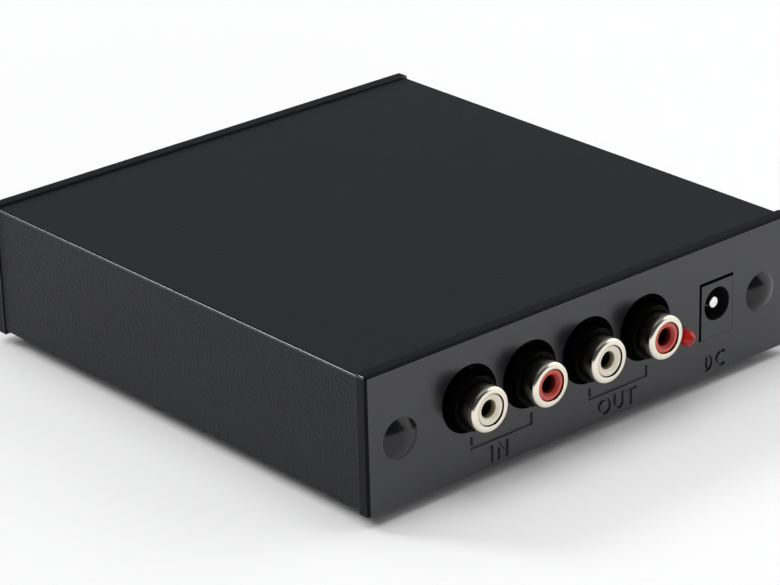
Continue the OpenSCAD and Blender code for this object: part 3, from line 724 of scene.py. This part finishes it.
# Sockets, light and inlet
GLOSS_BLACK = gloss_black_material()
IVORY = moulded_material("ivory_insert", (0.86, 0.79, 0.64), (0.91, 0.85, 0.71), 0.34)
# The inserts' holes carry painted shade, from the mouth colour to near black deep inside
IVORY_BORE = bore_material("ivory_bore", (0.80, 0.62, 0.36), (0.004, 0.0035, 0.003))
# The mouths of the inserts' holes: a slightly paler ivory as painted light, and a darker red as
# painted shade
IVORY_MOUTH = moulded_material("ivory_mouth", (0.86, 0.80, 0.67), (0.90, 0.85, 0.73), 0.3)
RED = moulded_material("red_insert", (0.60, 0.085, 0.055), (0.68, 0.11, 0.075), 0.45)
RED_BORE = bore_material("red_bore", (0.46, 0.03, 0.016), (0.004, 0.0015, 0.0015))
RED_MOUTH = moulded_material("red_mouth", (0.36, 0.03, 0.02), (0.42, 0.038, 0.026), 0.4)
LENS = lens_material()
DARK = moulded_material("dark_moulding", (0.006, 0.006, 0.0065), (0.01, 0.01, 0.0105), 0.5, 0.3)


# ---- Sleeve ----

def build_sleeve():
    """The grained tube with its board rails and the sunk holes of the screws."""
    low, high = SLEEVE_LOW, SLEEVE_HIGH
    mid_z = (low.z + high.z) / 2
    turns = [radians(t) for t in (0, 30, 60, 90)]
    rounds = [(-SLEEVE_END_R * (1 - sin(t)), SLEEVE_END_R * (1 - cos(t))) for t in turns]
    levels = [(off, low.y + rise) for off, rise in rounds]
    levels += [(off, high.y - rise) for off, rise in rounds[::-1]]
    loops = []
    for off, y in levels:
        w, h = high.x - low.x + 2 * off, high.z - low.z + 2 * off
        section = rectangle(0, mid_z, w, h, SLEEVE_EDGE_R, 6)
        loops.append([(px, y, pz) for px, pz in section])
    tube = loft("sleeve_shell", loops)

    x1 = high.x - WALL
    z0, z1 = low.z + WALL, high.z - WALL
    slot = BOARD_T + 2 * SLIDE_GAP
    s0 = BOARD_Z - BOARD_T - SLIDE_GAP
    half = [
        (x1, z0), (x1, s0 - RAIL_T), (x1 - RAIL_D, s0 - RAIL_T), (x1 - RAIL_D, s0), (x1, s0),
        (x1, s0 + slot), (x1 - RAIL_D, s0 + slot), (x1 - RAIL_D, s0 + slot + RAIL_T),
        (x1, s0 + slot + RAIL_T), (x1, z1)
    ]
    hollow = half + [(-px, pz) for px, pz in half[::-1]]
    ends = (low.y - 1, high.y + 1)
    combine(tube, [loft("bore", [[(px, y, pz) for px, pz in hollow] for y in ends])], "DIFFERENCE")

    cone = [(0, -0.1), (SCREW_HEAD_R + 0.2, -0.1), (SCREW_HEAD_R + 0.1, 0.0),
            (SCREW_HOLE_R, SCREW_SINK), (SCREW_HOLE_R, WALL + 0.1), (0, WALL + 0.1)]
    sinks = [upright("sink", cone, x, y, low.z, 48) for x in (-SCREW_X, SCREW_X) for y in SCREW_Y]
    combine(tube, sinks, "DIFFERENCE")

    # Corner faces that face up towards the light get the painted highlight of the edge finish; the
    # other corner faces get the painted shade of the near-black rim.
    for face in tube.data.polygons:
        x, _, z = face.center
        corner = (abs(x) > high.x - SLEEVE_EDGE_R
                  and abs(z - mid_z) > high.z - mid_z - SLEEVE_EDGE_R)
        lit = 0.05 < face.normal.z < sin(radians(60))
        face.material_index = 0 if not corner else 1 if lit else 2
    finish_shape(tube)
    dress(tube, [COAT, EDGE, RIM], "sleeve_plastic", "sleeve")


# ---- End panels ----

ON_FACE, ON_RIM, ON_TOP, ON_BUTTON, ON_GAP, ON_EDGE = range(6)


def panel_plate(name):
    """A panel's plate: round towards its outer face, which is at Y_REAR, and crisp behind."""
    y_back = Y_REAR - PANEL_T
    spare = 1.0
    plate = block(name, (-CASE_W / 2, y_back - spare, CASE_LOW.z),
                  (CASE_W / 2, Y_REAR, CASE_HIGH.z), PANEL_EDGE_R, 6)
    shape = bmesh.new()
    shape.from_mesh(plate.data)
    cut = bmesh.ops.bisect_plane(shape, geom=shape.verts[:] + shape.edges[:] + shape.faces[:],
                                 plane_co=(0, y_back, 0), plane_no=(0, -1, 0), clear_outer=True)
    edges = [e for e in cut["geom_cut"] if isinstance(e, bmesh.types.BMEdge)]
    back = bmesh.ops.contextual_create(shape, geom=edges)["faces"]
    bmesh.ops.recalc_face_normals(shape, faces=shape.faces)
    bmesh.ops.bevel(shape, geom=list(back[0].edges), offset=PANEL_BACK_R, offset_type="OFFSET",
                    segments=2, profile=0.5, affect="EDGES")
    shape.to_mesh(plate.data)
    shape.free()
    return plate


def panel_body(name):
    """A blank panel: the plate, with the lips and screw bosses that go inside the sleeve."""
    plate = panel_plate(name)
    y0 = Y_REAR - PANEL_T
    roof = SLEEVE_HIGH.z - WALL - SLIDE_GAP
    floor = SLEEVE_LOW.z + WALL + SLIDE_GAP
    inner = SLEEVE_HIGH.x - WALL - SLIDE_GAP
    bury = 0.3
    between = SCREW_X - BOSS_W / 2 + bury
    parts = [
        block("upper_lip", (-inner, y0 - UPPER_LIP_D, roof - PANEL_LIP_T),
              (inner, y0 + bury, roof), 0.2, 2),
        block("lower_lip", (-between, y0 - LOWER_LIP_D, floor),
              (between, y0 + bury, floor + PANEL_LIP_T), 0.2, 2)
    ]
    for x in (-SCREW_X, SCREW_X):
        parts.append(block("boss", (x - BOSS_W / 2, y0 - SCREW_IN - BOSS_W / 2, floor),
                           (x + BOSS_W / 2, y0 + bury, floor + BOSS_H), 0.3, 2))
    combine(plate, parts, "UNION")
    pilot = [(0, -0.5), (PILOT_R, -0.5), (PILOT_R, PILOT_D), (0, PILOT_D)]
    pilots = [upright("pilot", pilot, x, y0 - SCREW_IN, floor, 32) for x in (-SCREW_X, SCREW_X)]
    return combine(plate, pilots, "DIFFERENCE")


def circle_outline(x, z, r, steps=96):
    """What gives a well a round outline."""
    return lambda off: arc(x, z, r + off, 0, 360 - 360 / steps, steps - 1)


def inlet_outline(off):
    """The inlet's cut-out, grown by an offset."""
    left, right = INLET_LOW.x - GAP_TIGHT, INLET_HIGH.x + GAP_OPEN
    low, high = INLET_LOW.z - GAP_TIGHT, INLET_HIGH.z + GAP_OPEN
    return rectangle((left + right) / 2, (low + high) / 2, right - left + 2 * off,
                     high - low + 2 * off, 0.15 + max(off, 0), 3)


# Marks and letters are laid out as their reader sees them, who looks along -Y: x grows to the
# right, against the part's X. A letter's lower left corner is at (x, z).

MARK_LEVELS = well_levels(MARK_DEPTH, 0.09, 0.1)


def stroke(x0, z0, x1, z1):
    """Cutter for an engraved stroke."""
    length = hypot(x1 - x0, z1 - z0)
    turn = atan2(z1 - z0, x1 - x0)

    def outline(off):
        flat = rectangle(length / 2, 0, length + MARK_W + 2 * off, MARK_W + 2 * off,
                         0.1 + max(off, -0.05), 3)
        return [(-(x0 + px * cos(turn) - pz * sin(turn)), z0 + px * sin(turn) + pz * cos(turn))
                for px, pz in flat]

    return well("stroke", outline, MARK_LEVELS)


def ring(x, z, r, start, end):
    """Cutter for an engraved arc about (x, z), with its angles in degrees."""
    steps = max(8, int(abs(end - start) / 7.5))

    def outline(off):
        swell = degrees(off / r)
        half = MARK_W / 2 + off
        flat = arc(x, z, r + half, start - swell, end + swell, steps)
        flat += arc(x, z, r - half, end + swell, start - swell, steps)
        return [(-px, pz) for px, pz in flat]

    return well("ring", outline, MARK_LEVELS)


def full_ring(x, z, r):
    """Cutter for an engraved circle."""
    half = MARK_W / 2
    right = [(r + half + off, out) for off, out in MARK_LEVELS]
    left = [(r - half - off, out) for off, out in MARK_LEVELS]
    return lathe("circle", right + left[::-1], -x, z)


def letter_i(x, z):
    return [stroke(x, z, x, z + LETTER_H)]


def letter_n(x, z):
    w = LETTER_H * 0.72
    return [stroke(x, z, x, z + LETTER_H), stroke(x, z + LETTER_H, x + w, z),
            stroke(x + w, z, x + w, z + LETTER_H)]


def letter_o(x, z):
    r = LETTER_H / 2
    return [full_ring(x + r, z + r, r)]


def letter_u(x, z):
    r = LETTER_H * 0.36
    top = z + LETTER_H
    return [stroke(x, z + r, x, top), stroke(x + 2 * r, z + r, x + 2 * r, top),
            ring(x + r, z + r, r, 180, 360)]


def letter_t(x, z):
    w = LETTER_H * 0.8
    top = z + LETTER_H
    return [stroke(x, top, x + w, top), stroke(x + w / 2, z, x + w / 2, top)]


def letter_d(x, z):
    r = LETTER_H / 2
    return [stroke(x, z, x, z + LETTER_H), ring(x, z + r, r, -90, 90)]


def letter_c(x, z):
    r = LETTER_H / 2
    return [ring(x + r, z + r, r, 53, 307)]


def mark_cutters():
    """Brackets under the two pairs of sockets, and the words IN, OUT and DC."""
    z_bar = OPENING_Z - OPENING_R - BRACKET_DROP - MARK_W / 2
    top = z_bar + BRACKET_H - MARK_W
    z_text = z_bar - MARK_W / 2 - LETTER_DROP - LETTER_H
    cutters = []
    for first in (0, 2):
        x0, x1 = -SOCKET_X[first] + MARK_W / 2, -SOCKET_X[first + 1] + MARK_W / 2
        cutters += [stroke(x0, z_bar, x1, z_bar), stroke(x0, z_bar, x0, top),
                    stroke(x1, z_bar, x1, top)]
    x_in = -(SOCKET_X[0] + SOCKET_X[1]) / 2 - LETTER_H * 0.75
    cutters += letter_i(x_in, z_text) + letter_n(x_in + LETTER_H * 0.6, z_text)
    x_out = -(SOCKET_X[2] + SOCKET_X[3]) / 2 - LETTER_H * 1.65
    cutters += letter_o(x_out, z_text) + letter_u(x_out + LETTER_H * 1.45, z_text)
    cutters += letter_t(x_out + LETTER_H * 2.55, z_text)
    x_dc = -INLET_X - LETTER_H * 0.95
    cutters += letter_d(x_dc, z_text) + letter_c(x_dc + LETTER_H * 0.95, z_text)
    return cutters


def button_cap(x):
    """A low domed button, moulded on the panel."""
    ball = (BUTTON_R ** 2 + BUTTON_OUT ** 2) / (2 * BUTTON_OUT)
    steps = 24
    outline = [(0, -BUTTON_ROOT), (BUTTON_R, -BUTTON_ROOT)]
    for k in range(steps + 1):
        r = BUTTON_R * (1 - k / steps)
        outline.append((r, sqrt(ball ** 2 - r ** 2) - ball + BUTTON_OUT))
    return lathe("button", outline, x, BUTTON_Z)


def mark_plate(piece, y_face, out):
    """Picks the finish of each face of a plate: the painted shade of the near-black rim and of the
    darker top and ends, and the painted highlight of the upper corners; out is +1 or -1, the way it
    faces along Y.
    """
    for face in piece.data.polygons:
        x, y, z = face.center
        across, along, up = face.normal
        beyond_x = abs(x) > CASE_W / 2 - PANEL_EDGE_R
        beyond_z = abs(z - CASE_MID_Z) > CASE_H / 2 - PANEL_EDGE_R
        outer = (y_face - y) * out < PANEL_EDGE_R
        flat = max(abs(across), abs(along), abs(up)) > 0.999
        on_rim = (beyond_x or beyond_z) and outer and not flat and up > -0.05
        on_top = up > 0.9 and z > CASE_HIGH.z - 0.2
        on_end = abs(across) > 0.95 and abs(x) > CASE_W / 2 - 0.1
        face.material_index = ON_RIM if on_rim else ON_FACE
        if on_top or on_end:
            face.material_index = ON_TOP
        if beyond_x and beyond_z and abs(along) < 0.3 and 0.05 < up < 0.9:
            face.material_index = ON_EDGE


def build_rear_panel():
    """The end panel with the sockets' openings, the engraving and the domed buttons."""
    panel = panel_body("rear_bezel")
    through = PANEL_T + 0.2
    cutters = [well("opening", circle_outline(x, OPENING_Z, OPENING_R), well_levels(through, 0.05))
               for x in SOCKET_X]
    cutters += [
        well("light_hole", circle_outline(LED_X, LED_Z, LED_R + 0.1, 48),
             well_levels(through, 0.06)),
        lathe("light_seat", [(0, -through), (LED_SEAT_R, -through), (LED_SEAT_R, -LED_SEAT_END),
                             (0, -LED_SEAT_END)], LED_X, LED_Z, Y_REAR, 48),
        well("inlet_hole", inlet_outline, well_levels(through, 0.02))
    ]
    combine(panel, cutters, "DIFFERENCE")
    combine(panel, mark_cutters(), "DIFFERENCE")
    combine(panel, [button_cap(-BUTTON_X), button_cap(BUTTON_X)], "UNION")
    mark_plate(panel, Y_REAR, 1)
    # Faces of the inlet's cut-out inside the panel get the near-black gap finish, painted shade.
    for face in panel.data.polygons:
        x, y, z = face.center
        by_inlet = (abs(x - INLET_X) < INLET_W / 2 + 1
                    and INLET_LOW.z - 1 < z < INLET_HIGH.z + 1)
        if hypot(abs(x) - BUTTON_X, z - BUTTON_Z) < BUTTON_R and y > Y_REAR + 0.01:
            face.material_index = ON_BUTTON
        elif by_inlet and Y_REAR - PANEL_T - 0.3 < y <= Y_REAR - 0.03:
            face.material_index = ON_GAP
    finish_shape(panel, 25)
    dress(panel, [PANEL, RIM, PANEL_TOP, BUTTON, GAP, EDGE], "panel_plastic", "rear_panel")


def build_front_panel():
    """The plain end panel: the same body, turned to face -Y."""
    panel = panel_body("front_bezel")
    mirror = Matrix.Scale(-1, 4, (0, 1, 0))
    panel.data.transform(Matrix.Translation((0, Y_REAR + Y_FRONT, 0)) @ mirror)
    panel.data.flip_normals()
    mark_plate(panel, Y_FRONT, -1)
    finish_shape(panel, 38)
    dress(panel, [PANEL, RIM, PANEL_TOP, PANEL, PANEL, EDGE], "panel_plastic", "front_panel")


# ---- Feet ----

def build_foot(number):
    """A round rubber foot with a shallow dip beneath."""
    dip = 0.4
    low, high = span("foot_%d" % number)
    r, h = (high.x - low.x) / 2, high.z - low.z
    outline = rounded([(0, dip, 0), (r - 2, dip, 0.15), (r - 1.6, 0, 0.15), (r, 0, 0.6),
                       (r, h, 0.15), (0, h, 0)], 5)
    foot = upright("rubber_foot_%d" % number, outline, (low.x + high.x) / 2,
                   (low.y + high.y) / 2, 0, 64)
    finish_shape(foot)
    dress(foot, [RUBBER], "foot_rubber", "foot_%d" % number)


# ---- Phono sockets ----

def build_socket_block():
    """The sockets' common housing, with a glossy collar round each shell."""
    y_front = Y_REAR - BLOCK_FRONT
    body = block("socket_housing", BLOCK_LOW, (BLOCK_HIGH.x, y_front, BLOCK_HIGH.z), 0.3, 3)
    root = -BLOCK_FRONT - 0.5
    collar = rounded([(0, root, 0), (COLLAR_R, root, 0), (COLLAR_R, COLLAR_OUT, COLLAR_EDGE_R),
                      (0, COLLAR_OUT, 0)], 6)
    combine(body, [lathe("collar", collar, x, SOCKET_Z) for x in SOCKET_X], "UNION")

    bore_r = SHELL_R + 0.05
    bore = [(0, -SHELL_END - 0.1), (bore_r, -SHELL_END - 0.1), (bore_r, COLLAR_OUT - 0.15),
            (SHELL_R + 0.25, COLLAR_OUT + 0.05), (0, COLLAR_OUT + 0.05)]
    room = [(0, -CONTACT_ROOM_END), (CONTACT_ROOM_R, -CONTACT_ROOM_END),
            (CONTACT_ROOM_R, -SHELL_END + 0.1), (0, -SHELL_END + 0.1)]
    below, above = BLOCK_LOW.z - 0.1, BLOCK_HIGH.z + 0.1
    tail_top = SOCKET_Z - SHELL_R + 1
    tail_hole = [(0, below), (TAIL_HOLE_R, below), (TAIL_HOLE_R, tail_top), (0, tail_top)]
    cutters = []
    for x in SOCKET_X:
        cutters.append(lathe("bore", bore, x, SOCKET_Z))
        cutters.append(lathe("contact_room", room, x, SOCKET_Z, Y_REAR, 48))
    cutters += [upright("tail_hole", tail_hole, x, TAIL_Y) for x in SOCKET_X]
    for left, right in zip(SOCKET_X[1:], SOCKET_X):
        mid = (left + right) / 2
        cutters.append(block("relief", (mid - RELIEF_W / 2, y_front - RELIEF_D, below),
                             (mid + RELIEF_W / 2, y_front + 0.1, above)))
    combine(body, cutters, "DIFFERENCE")
    finish_shape(body)
    dress(body, [GLOSS_BLACK], "block_plastic", "socket_block")


def build_shell(number):
    """A socket's plated shell: a barrel with a rolled lip, and a tail down to the board."""
    x = SOCKET_X[number]
    bead = SOCKET_OUT - LIP_BEAD
    inner = LIP_R - LIP_W
    outline = rounded([
        (SHELL_R - SHELL_WALL, -SHELL_END, 0.05), (SHELL_R, -SHELL_END, 0.05),
        (SHELL_R, bead, 0.08), (LIP_R, bead, LIP_BACK_R), (LIP_R, SOCKET_OUT, LIP_ROUND),
        (inner, SOCKET_OUT, LIP_MOUTH_R), (inner, bead, 0.1), (SHELL_R - SHELL_WALL, bead, 0.05)
    ], 10)
    shell = lathe("phono_shell_%d" % (number + 1), outline, x, SOCKET_Z, Y_REAR, 128)
    low, _ = span(SHELLS[number])
    tail_top = SOCKET_Z - SHELL_R + 0.2
    tail = [(0, low.z), (TAIL_R, low.z + 0.15), (TAIL_R, tail_top), (0, tail_top)]
    combine(shell, [upright("tail", tail, x, TAIL_Y)], "UNION")
    # The barrel behind the lip gets the dark olive plating, painted shade; the lip's inner wall
    # gets the near-black gap finish, painted shade.
    for face in shell.data.polygons:
        px, y, pz = face.center
        if y < Y_REAR + bead + 0.01:
            face.material_index = 1
        elif hypot(px - x, pz - SOCKET_Z) < inner + 0.05:
            face.material_index = 2
    finish_shape(shell, 50, False)
    dress(shell, [NICKEL, BARREL, GAP], "shell_plate", SHELLS[number])


def build_insert(number):
    """A socket's moulded insert, with a flared hole for the plug's pin."""
    x0 = SOCKET_X[number]
    face = SOCKET_OUT - INSERT_RECESS
    inner = LIP_R - LIP_W - 0.1
    neck = SOCKET_OUT - LIP_BEAD - 0.1
    outline = rounded([
        (inner, face, 0.12), (inner, neck, 0), (INSERT_R, neck, 0.05), (INSERT_R, -SHELL_END, 0.05),
        (CONTACT_ROOM_R, -SHELL_END, 0), (CONTACT_ROOM_R, face - INSERT_LEN, 0),
        (PLUG_PIN_R, face - INSERT_LEN, 0), (PLUG_PIN_R, face - INSERT_MOUTH, 0.12),
        (PLUG_PIN_R + INSERT_MOUTH, face, 0.1)
    ], 5)
    insert = lathe("phono_insert_%d" % (number + 1), outline, x0, SOCKET_Z)
    # The holes' walls get the painted shade of the bore finish, and their mouths the painted light
    # or shade of the mouth finish.
    for part in insert.data.polygons:
        x, y, z = part.center
        off_axis = hypot(x - x0, z - SOCKET_Z)
        in_bore = off_axis < PLUG_PIN_R + 0.02 or y < Y_REAR + face - INSERT_LEN + 0.1
        in_mouth = (off_axis < PLUG_PIN_R + INSERT_MOUTH - 0.02
                    and y > Y_REAR + face - INSERT_MOUTH)
        part.material_index = 1 if in_bore else 2 if in_mouth else 0
    finish_shape(insert, 40)
    if number % 2 == 0:
        dress(insert, [IVORY, IVORY_BORE, IVORY_MOUTH], "insert_white", INSERTS[number])
    else:
        dress(insert, [RED, RED_BORE, RED_MOUTH], "insert_red", INSERTS[number])


# ---- Power inlet ----

def build_inlet():
    """The inlet's housing, with its bore and the room for its blade and contact."""
    trim = Vector((INLET_TRIM, 0, INLET_TRIM))
    body = block("inlet_housing", INLET_LOW, INLET_HIGH - trim, 0.04, 3)
    floor = INLET_LOW.z - 0.1
    shank_r, shank_top = SHANK_R + 0.05, -INLET_BORE_D + 0.1
    beside = INLET_X + BLADE_W / 2
    combine(body, [
        well("bore", circle_outline(INLET_X, INLET_Z, INLET_R),
             well_levels(INLET_BORE_D, 0.12, 0.2), INLET_HIGH.y),
        lathe("shank_hole", [(0, -SHANK_HOLE_D), (shank_r, -SHANK_HOLE_D), (shank_r, shank_top),
                             (0, shank_top)], INLET_X, INLET_Z, INLET_HIGH.y, 48),
        block("channel", (INLET_X - BLADE_W / 2 - BLADE_ROOM, Y_REAR - 11.5, floor),
              (beside + BLADE_ROOM, Y_REAR - 3, INLET_Z - INLET_R / 2)),
        block("pocket", (beside + 0.2, Y_REAR - 8.6, floor),
              (beside + BLADE_ROOM + BLADE_POST + 0.2, Y_REAR - 6.8, INLET_LOW.z + 3.87))
    ], "DIFFERENCE")
    # The housing's sides in the panel's cut-out get the near-black gap finish, painted shade.
    for face in body.data.polygons:
        x, y, z = face.center
        inside = hypot(x - INLET_X, z - INLET_Z) < INLET_R + 0.02 and y < INLET_HIGH.y - 0.1
        side = (Y_REAR - PANEL_T - 1 < y < INLET_HIGH.y - 0.02
                and max(abs(face.normal.x), abs(face.normal.z)) > 0.9)
        face.material_index = 1 if inside else 2 if side else 0
    finish_shape(body)
    dress(body, [PANEL, DARK, GAP], "inlet_plastic", "power_jack_body")


def build_inlet_pin():
    """The inlet's centre pin with its thicker shank and tail."""
    back = PIN_LOW.y - Y_REAR
    step = -INLET_BORE_D - 0.1
    outline = rounded([(0, back, 0), (SHANK_R, back, 0.05), (SHANK_R, step, 0.05),
                       (PIN_R, step, 0), (PIN_R, PIN_TIP, 0.15), (0, PIN_TIP, 0)], 8)
    pin = lathe("inlet_pin", outline, INLET_X, INLET_Z, Y_REAR, 64)
    tail = block("tail", (INLET_X - TAIL_R, PIN_LOW.y, PIN_LOW.z),
                 (INLET_X + TAIL_R, PIN_LOW.y + 0.5, INLET_Z), 0.08, 2)
    combine(pin, [tail], "UNION")
    finish_shape(pin, 40)
    dress(pin, [BRIGHT], "pin_plate", "power_jack_pin")


# ---- Status light ----

def build_lens():
    """The status light's flanged, domed lens."""
    back = LENS_LOW.y - Y_REAR
    shoulder = back + LED_FLANGE_T
    outline = [(0, back), (LED_FLANGE_R, back), (LED_FLANGE_R, shoulder), (LED_R, shoulder)]
    for t in range(0, 91, 6):
        outline.append((LED_R * cos(radians(t)), LED_OUT - LED_R + LED_R * sin(radians(t))))
    lens = lathe("status_lens", outline, LED_X, LED_Z, Y_REAR, 64)
    finish_shape(lens, 40)
    dress(lens, [LENS], "lens_red", "led_lens")


# ---- Solids that keep their own shape ----

def finish_kept_solids():
    """Gives the screws and what is inside the case their materials."""
    epoxy = moulded_material("chip_epoxy", (0.011, 0.011, 0.0115), (0.018, 0.018, 0.019), 0.55)
    film = moulded_material("film_box", (0.4, 0.09, 0.03), (0.5, 0.13, 0.045), 0.3)
    ferrite = moulded_material("ferrite", (0.03, 0.027, 0.025), (0.05, 0.046, 0.042), 0.6)
    kept = [
        (ZINC, ["case_screws"]),
        (board_material(), ["circuit_board"]),
        (BRASS, ["power_jack_spring", "power_jack_spring_root", "power_jack_shunt"]),
        (BRASS, numbered("socket_contact", SOCKET_N)),
        (epoxy, ["opamp_1", "opamp_2", "regulator", "rectifier_diode"]),
        (can_material(), numbered("reservoir_cap", 2) + numbered("coupling_cap", 4)),
        (film, numbered("eq_cap", 4)),
        (resistor_material(), ["resistors"]),
        (ferrite, ["ferrite_beads"]),
        (TIN, ["led_leads", "opamp_legs", "capacitor_leads", "resistor_leads", "diode_leads",
               "regulator_legs", "ferrite_wires"]),
    ]
    for material, names in kept:
        for name in names:
            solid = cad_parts[name]
            solid.data.materials.clear()
            solid.data.materials.append(material)


# ---- Stage ----

def build_floor():
    """A plain pale floor that reaches far behind the part."""
    half = 30.0
    mesh = bpy.data.meshes.new("floor")
    corners = [(-half, -half, 0), (half, -half, 0), (half, half, 0), (-half, half, 0)]
    mesh.from_pydata(corners, [], [(0, 1, 2, 3)])
    f = Finish("pale_floor")
    soft = f.noise(60, 1.0)
    mesh.materials.append(f.set(
        Base_Color=f.mix(soft, (0.93, 0.93, 0.935), (0.94, 0.94, 0.945)),
        Roughness=0.9,
        Specular_IOR_Level=0.0))
    put("floor", mesh)


def soft_sun(name, azimuth, height, spread, strength, mirrored=True):
    """A far, round soft light: its bearing from +X towards +Y, how high it stands and how wide it
    looks, all in degrees, and its strength. One that is not mirrored leaves no glint."""
    turn, rise = radians(azimuth), radians(height)
    towards = (cos(turn) * cos(rise), sin(turn) * cos(rise), sin(rise))
    lamp = bpy.data.lights.new(name, "SUN")
    lamp.angle = radians(spread)
    lamp.energy = strength
    holder = put(name, lamp)
    holder.visible_glossy = mirrored
    holder.matrix_world = Vector(towards).to_track_quat("Z", "Y").to_matrix().to_4x4()


def build_world(strength):
    """Faint, nearly white light from all round."""
    world = bpy.data.worlds.new("studio")
    bpy.context.scene.world = world
    world.use_nodes = True
    sky = world.node_tree.nodes["Background"]
    sky.inputs["Color"].default_value = (0.985, 0.99, 1.0, 1)
    sky.inputs["Strength"].default_value = strength


def build_camera():
    """The camera: above the sockets' end, a little to the side, slightly rolled."""
    eye = Vector((361.0, 417.65, 251.65)) * MM
    look = Vector((-0.598573, -0.695092, -0.398193)).normalized()
    roll = radians(-1.4314)
    right = look.cross(Vector((0, 0, 1))).normalized()
    up = right.cross(look)
    x_axis = cos(roll) * right + sin(roll) * up
    z_axis = -look
    y_axis = z_axis.cross(x_axis)
    camera = bpy.data.cameras.new("camera")
    camera.lens = 150.28
    camera.sensor_width = 36
    camera.clip_start = 0.01
    holder = put("camera", camera)
    turn = Matrix((x_axis, y_axis, z_axis)).transposed().to_4x4()
    holder.matrix_world = Matrix.Translation(eye) @ turn
    bpy.context.scene.camera = holder


build_sleeve()
build_rear_panel()
build_front_panel()
for foot_number in range(1, 5):
    build_foot(foot_number)
build_socket_block()
for socket in range(SOCKET_N):
    build_shell(socket)
    build_insert(socket)
build_inlet()
build_inlet_pin()
build_lens()
finish_kept_solids()

build_floor()
build_world(0.06)
soft_sun("softbox", 155, 25, 62, 1.0)
soft_sun("ceiling", 220, 60, 116, 0.5)
soft_sun("edge_light", 300, 37, 16, 0.8)
soft_sun("left", 0, 55, 40, 0.86, False)
soft_sun("back", 270, 55, 40, 0.33, False)
soft_sun("overhead", 0, 90, 40, 0.78, False)
soft_sun("fill", 65, 4, 30, 0.7, False)
build_camera()
bpy.context.scene.view_settings.view_transform = "Standard"
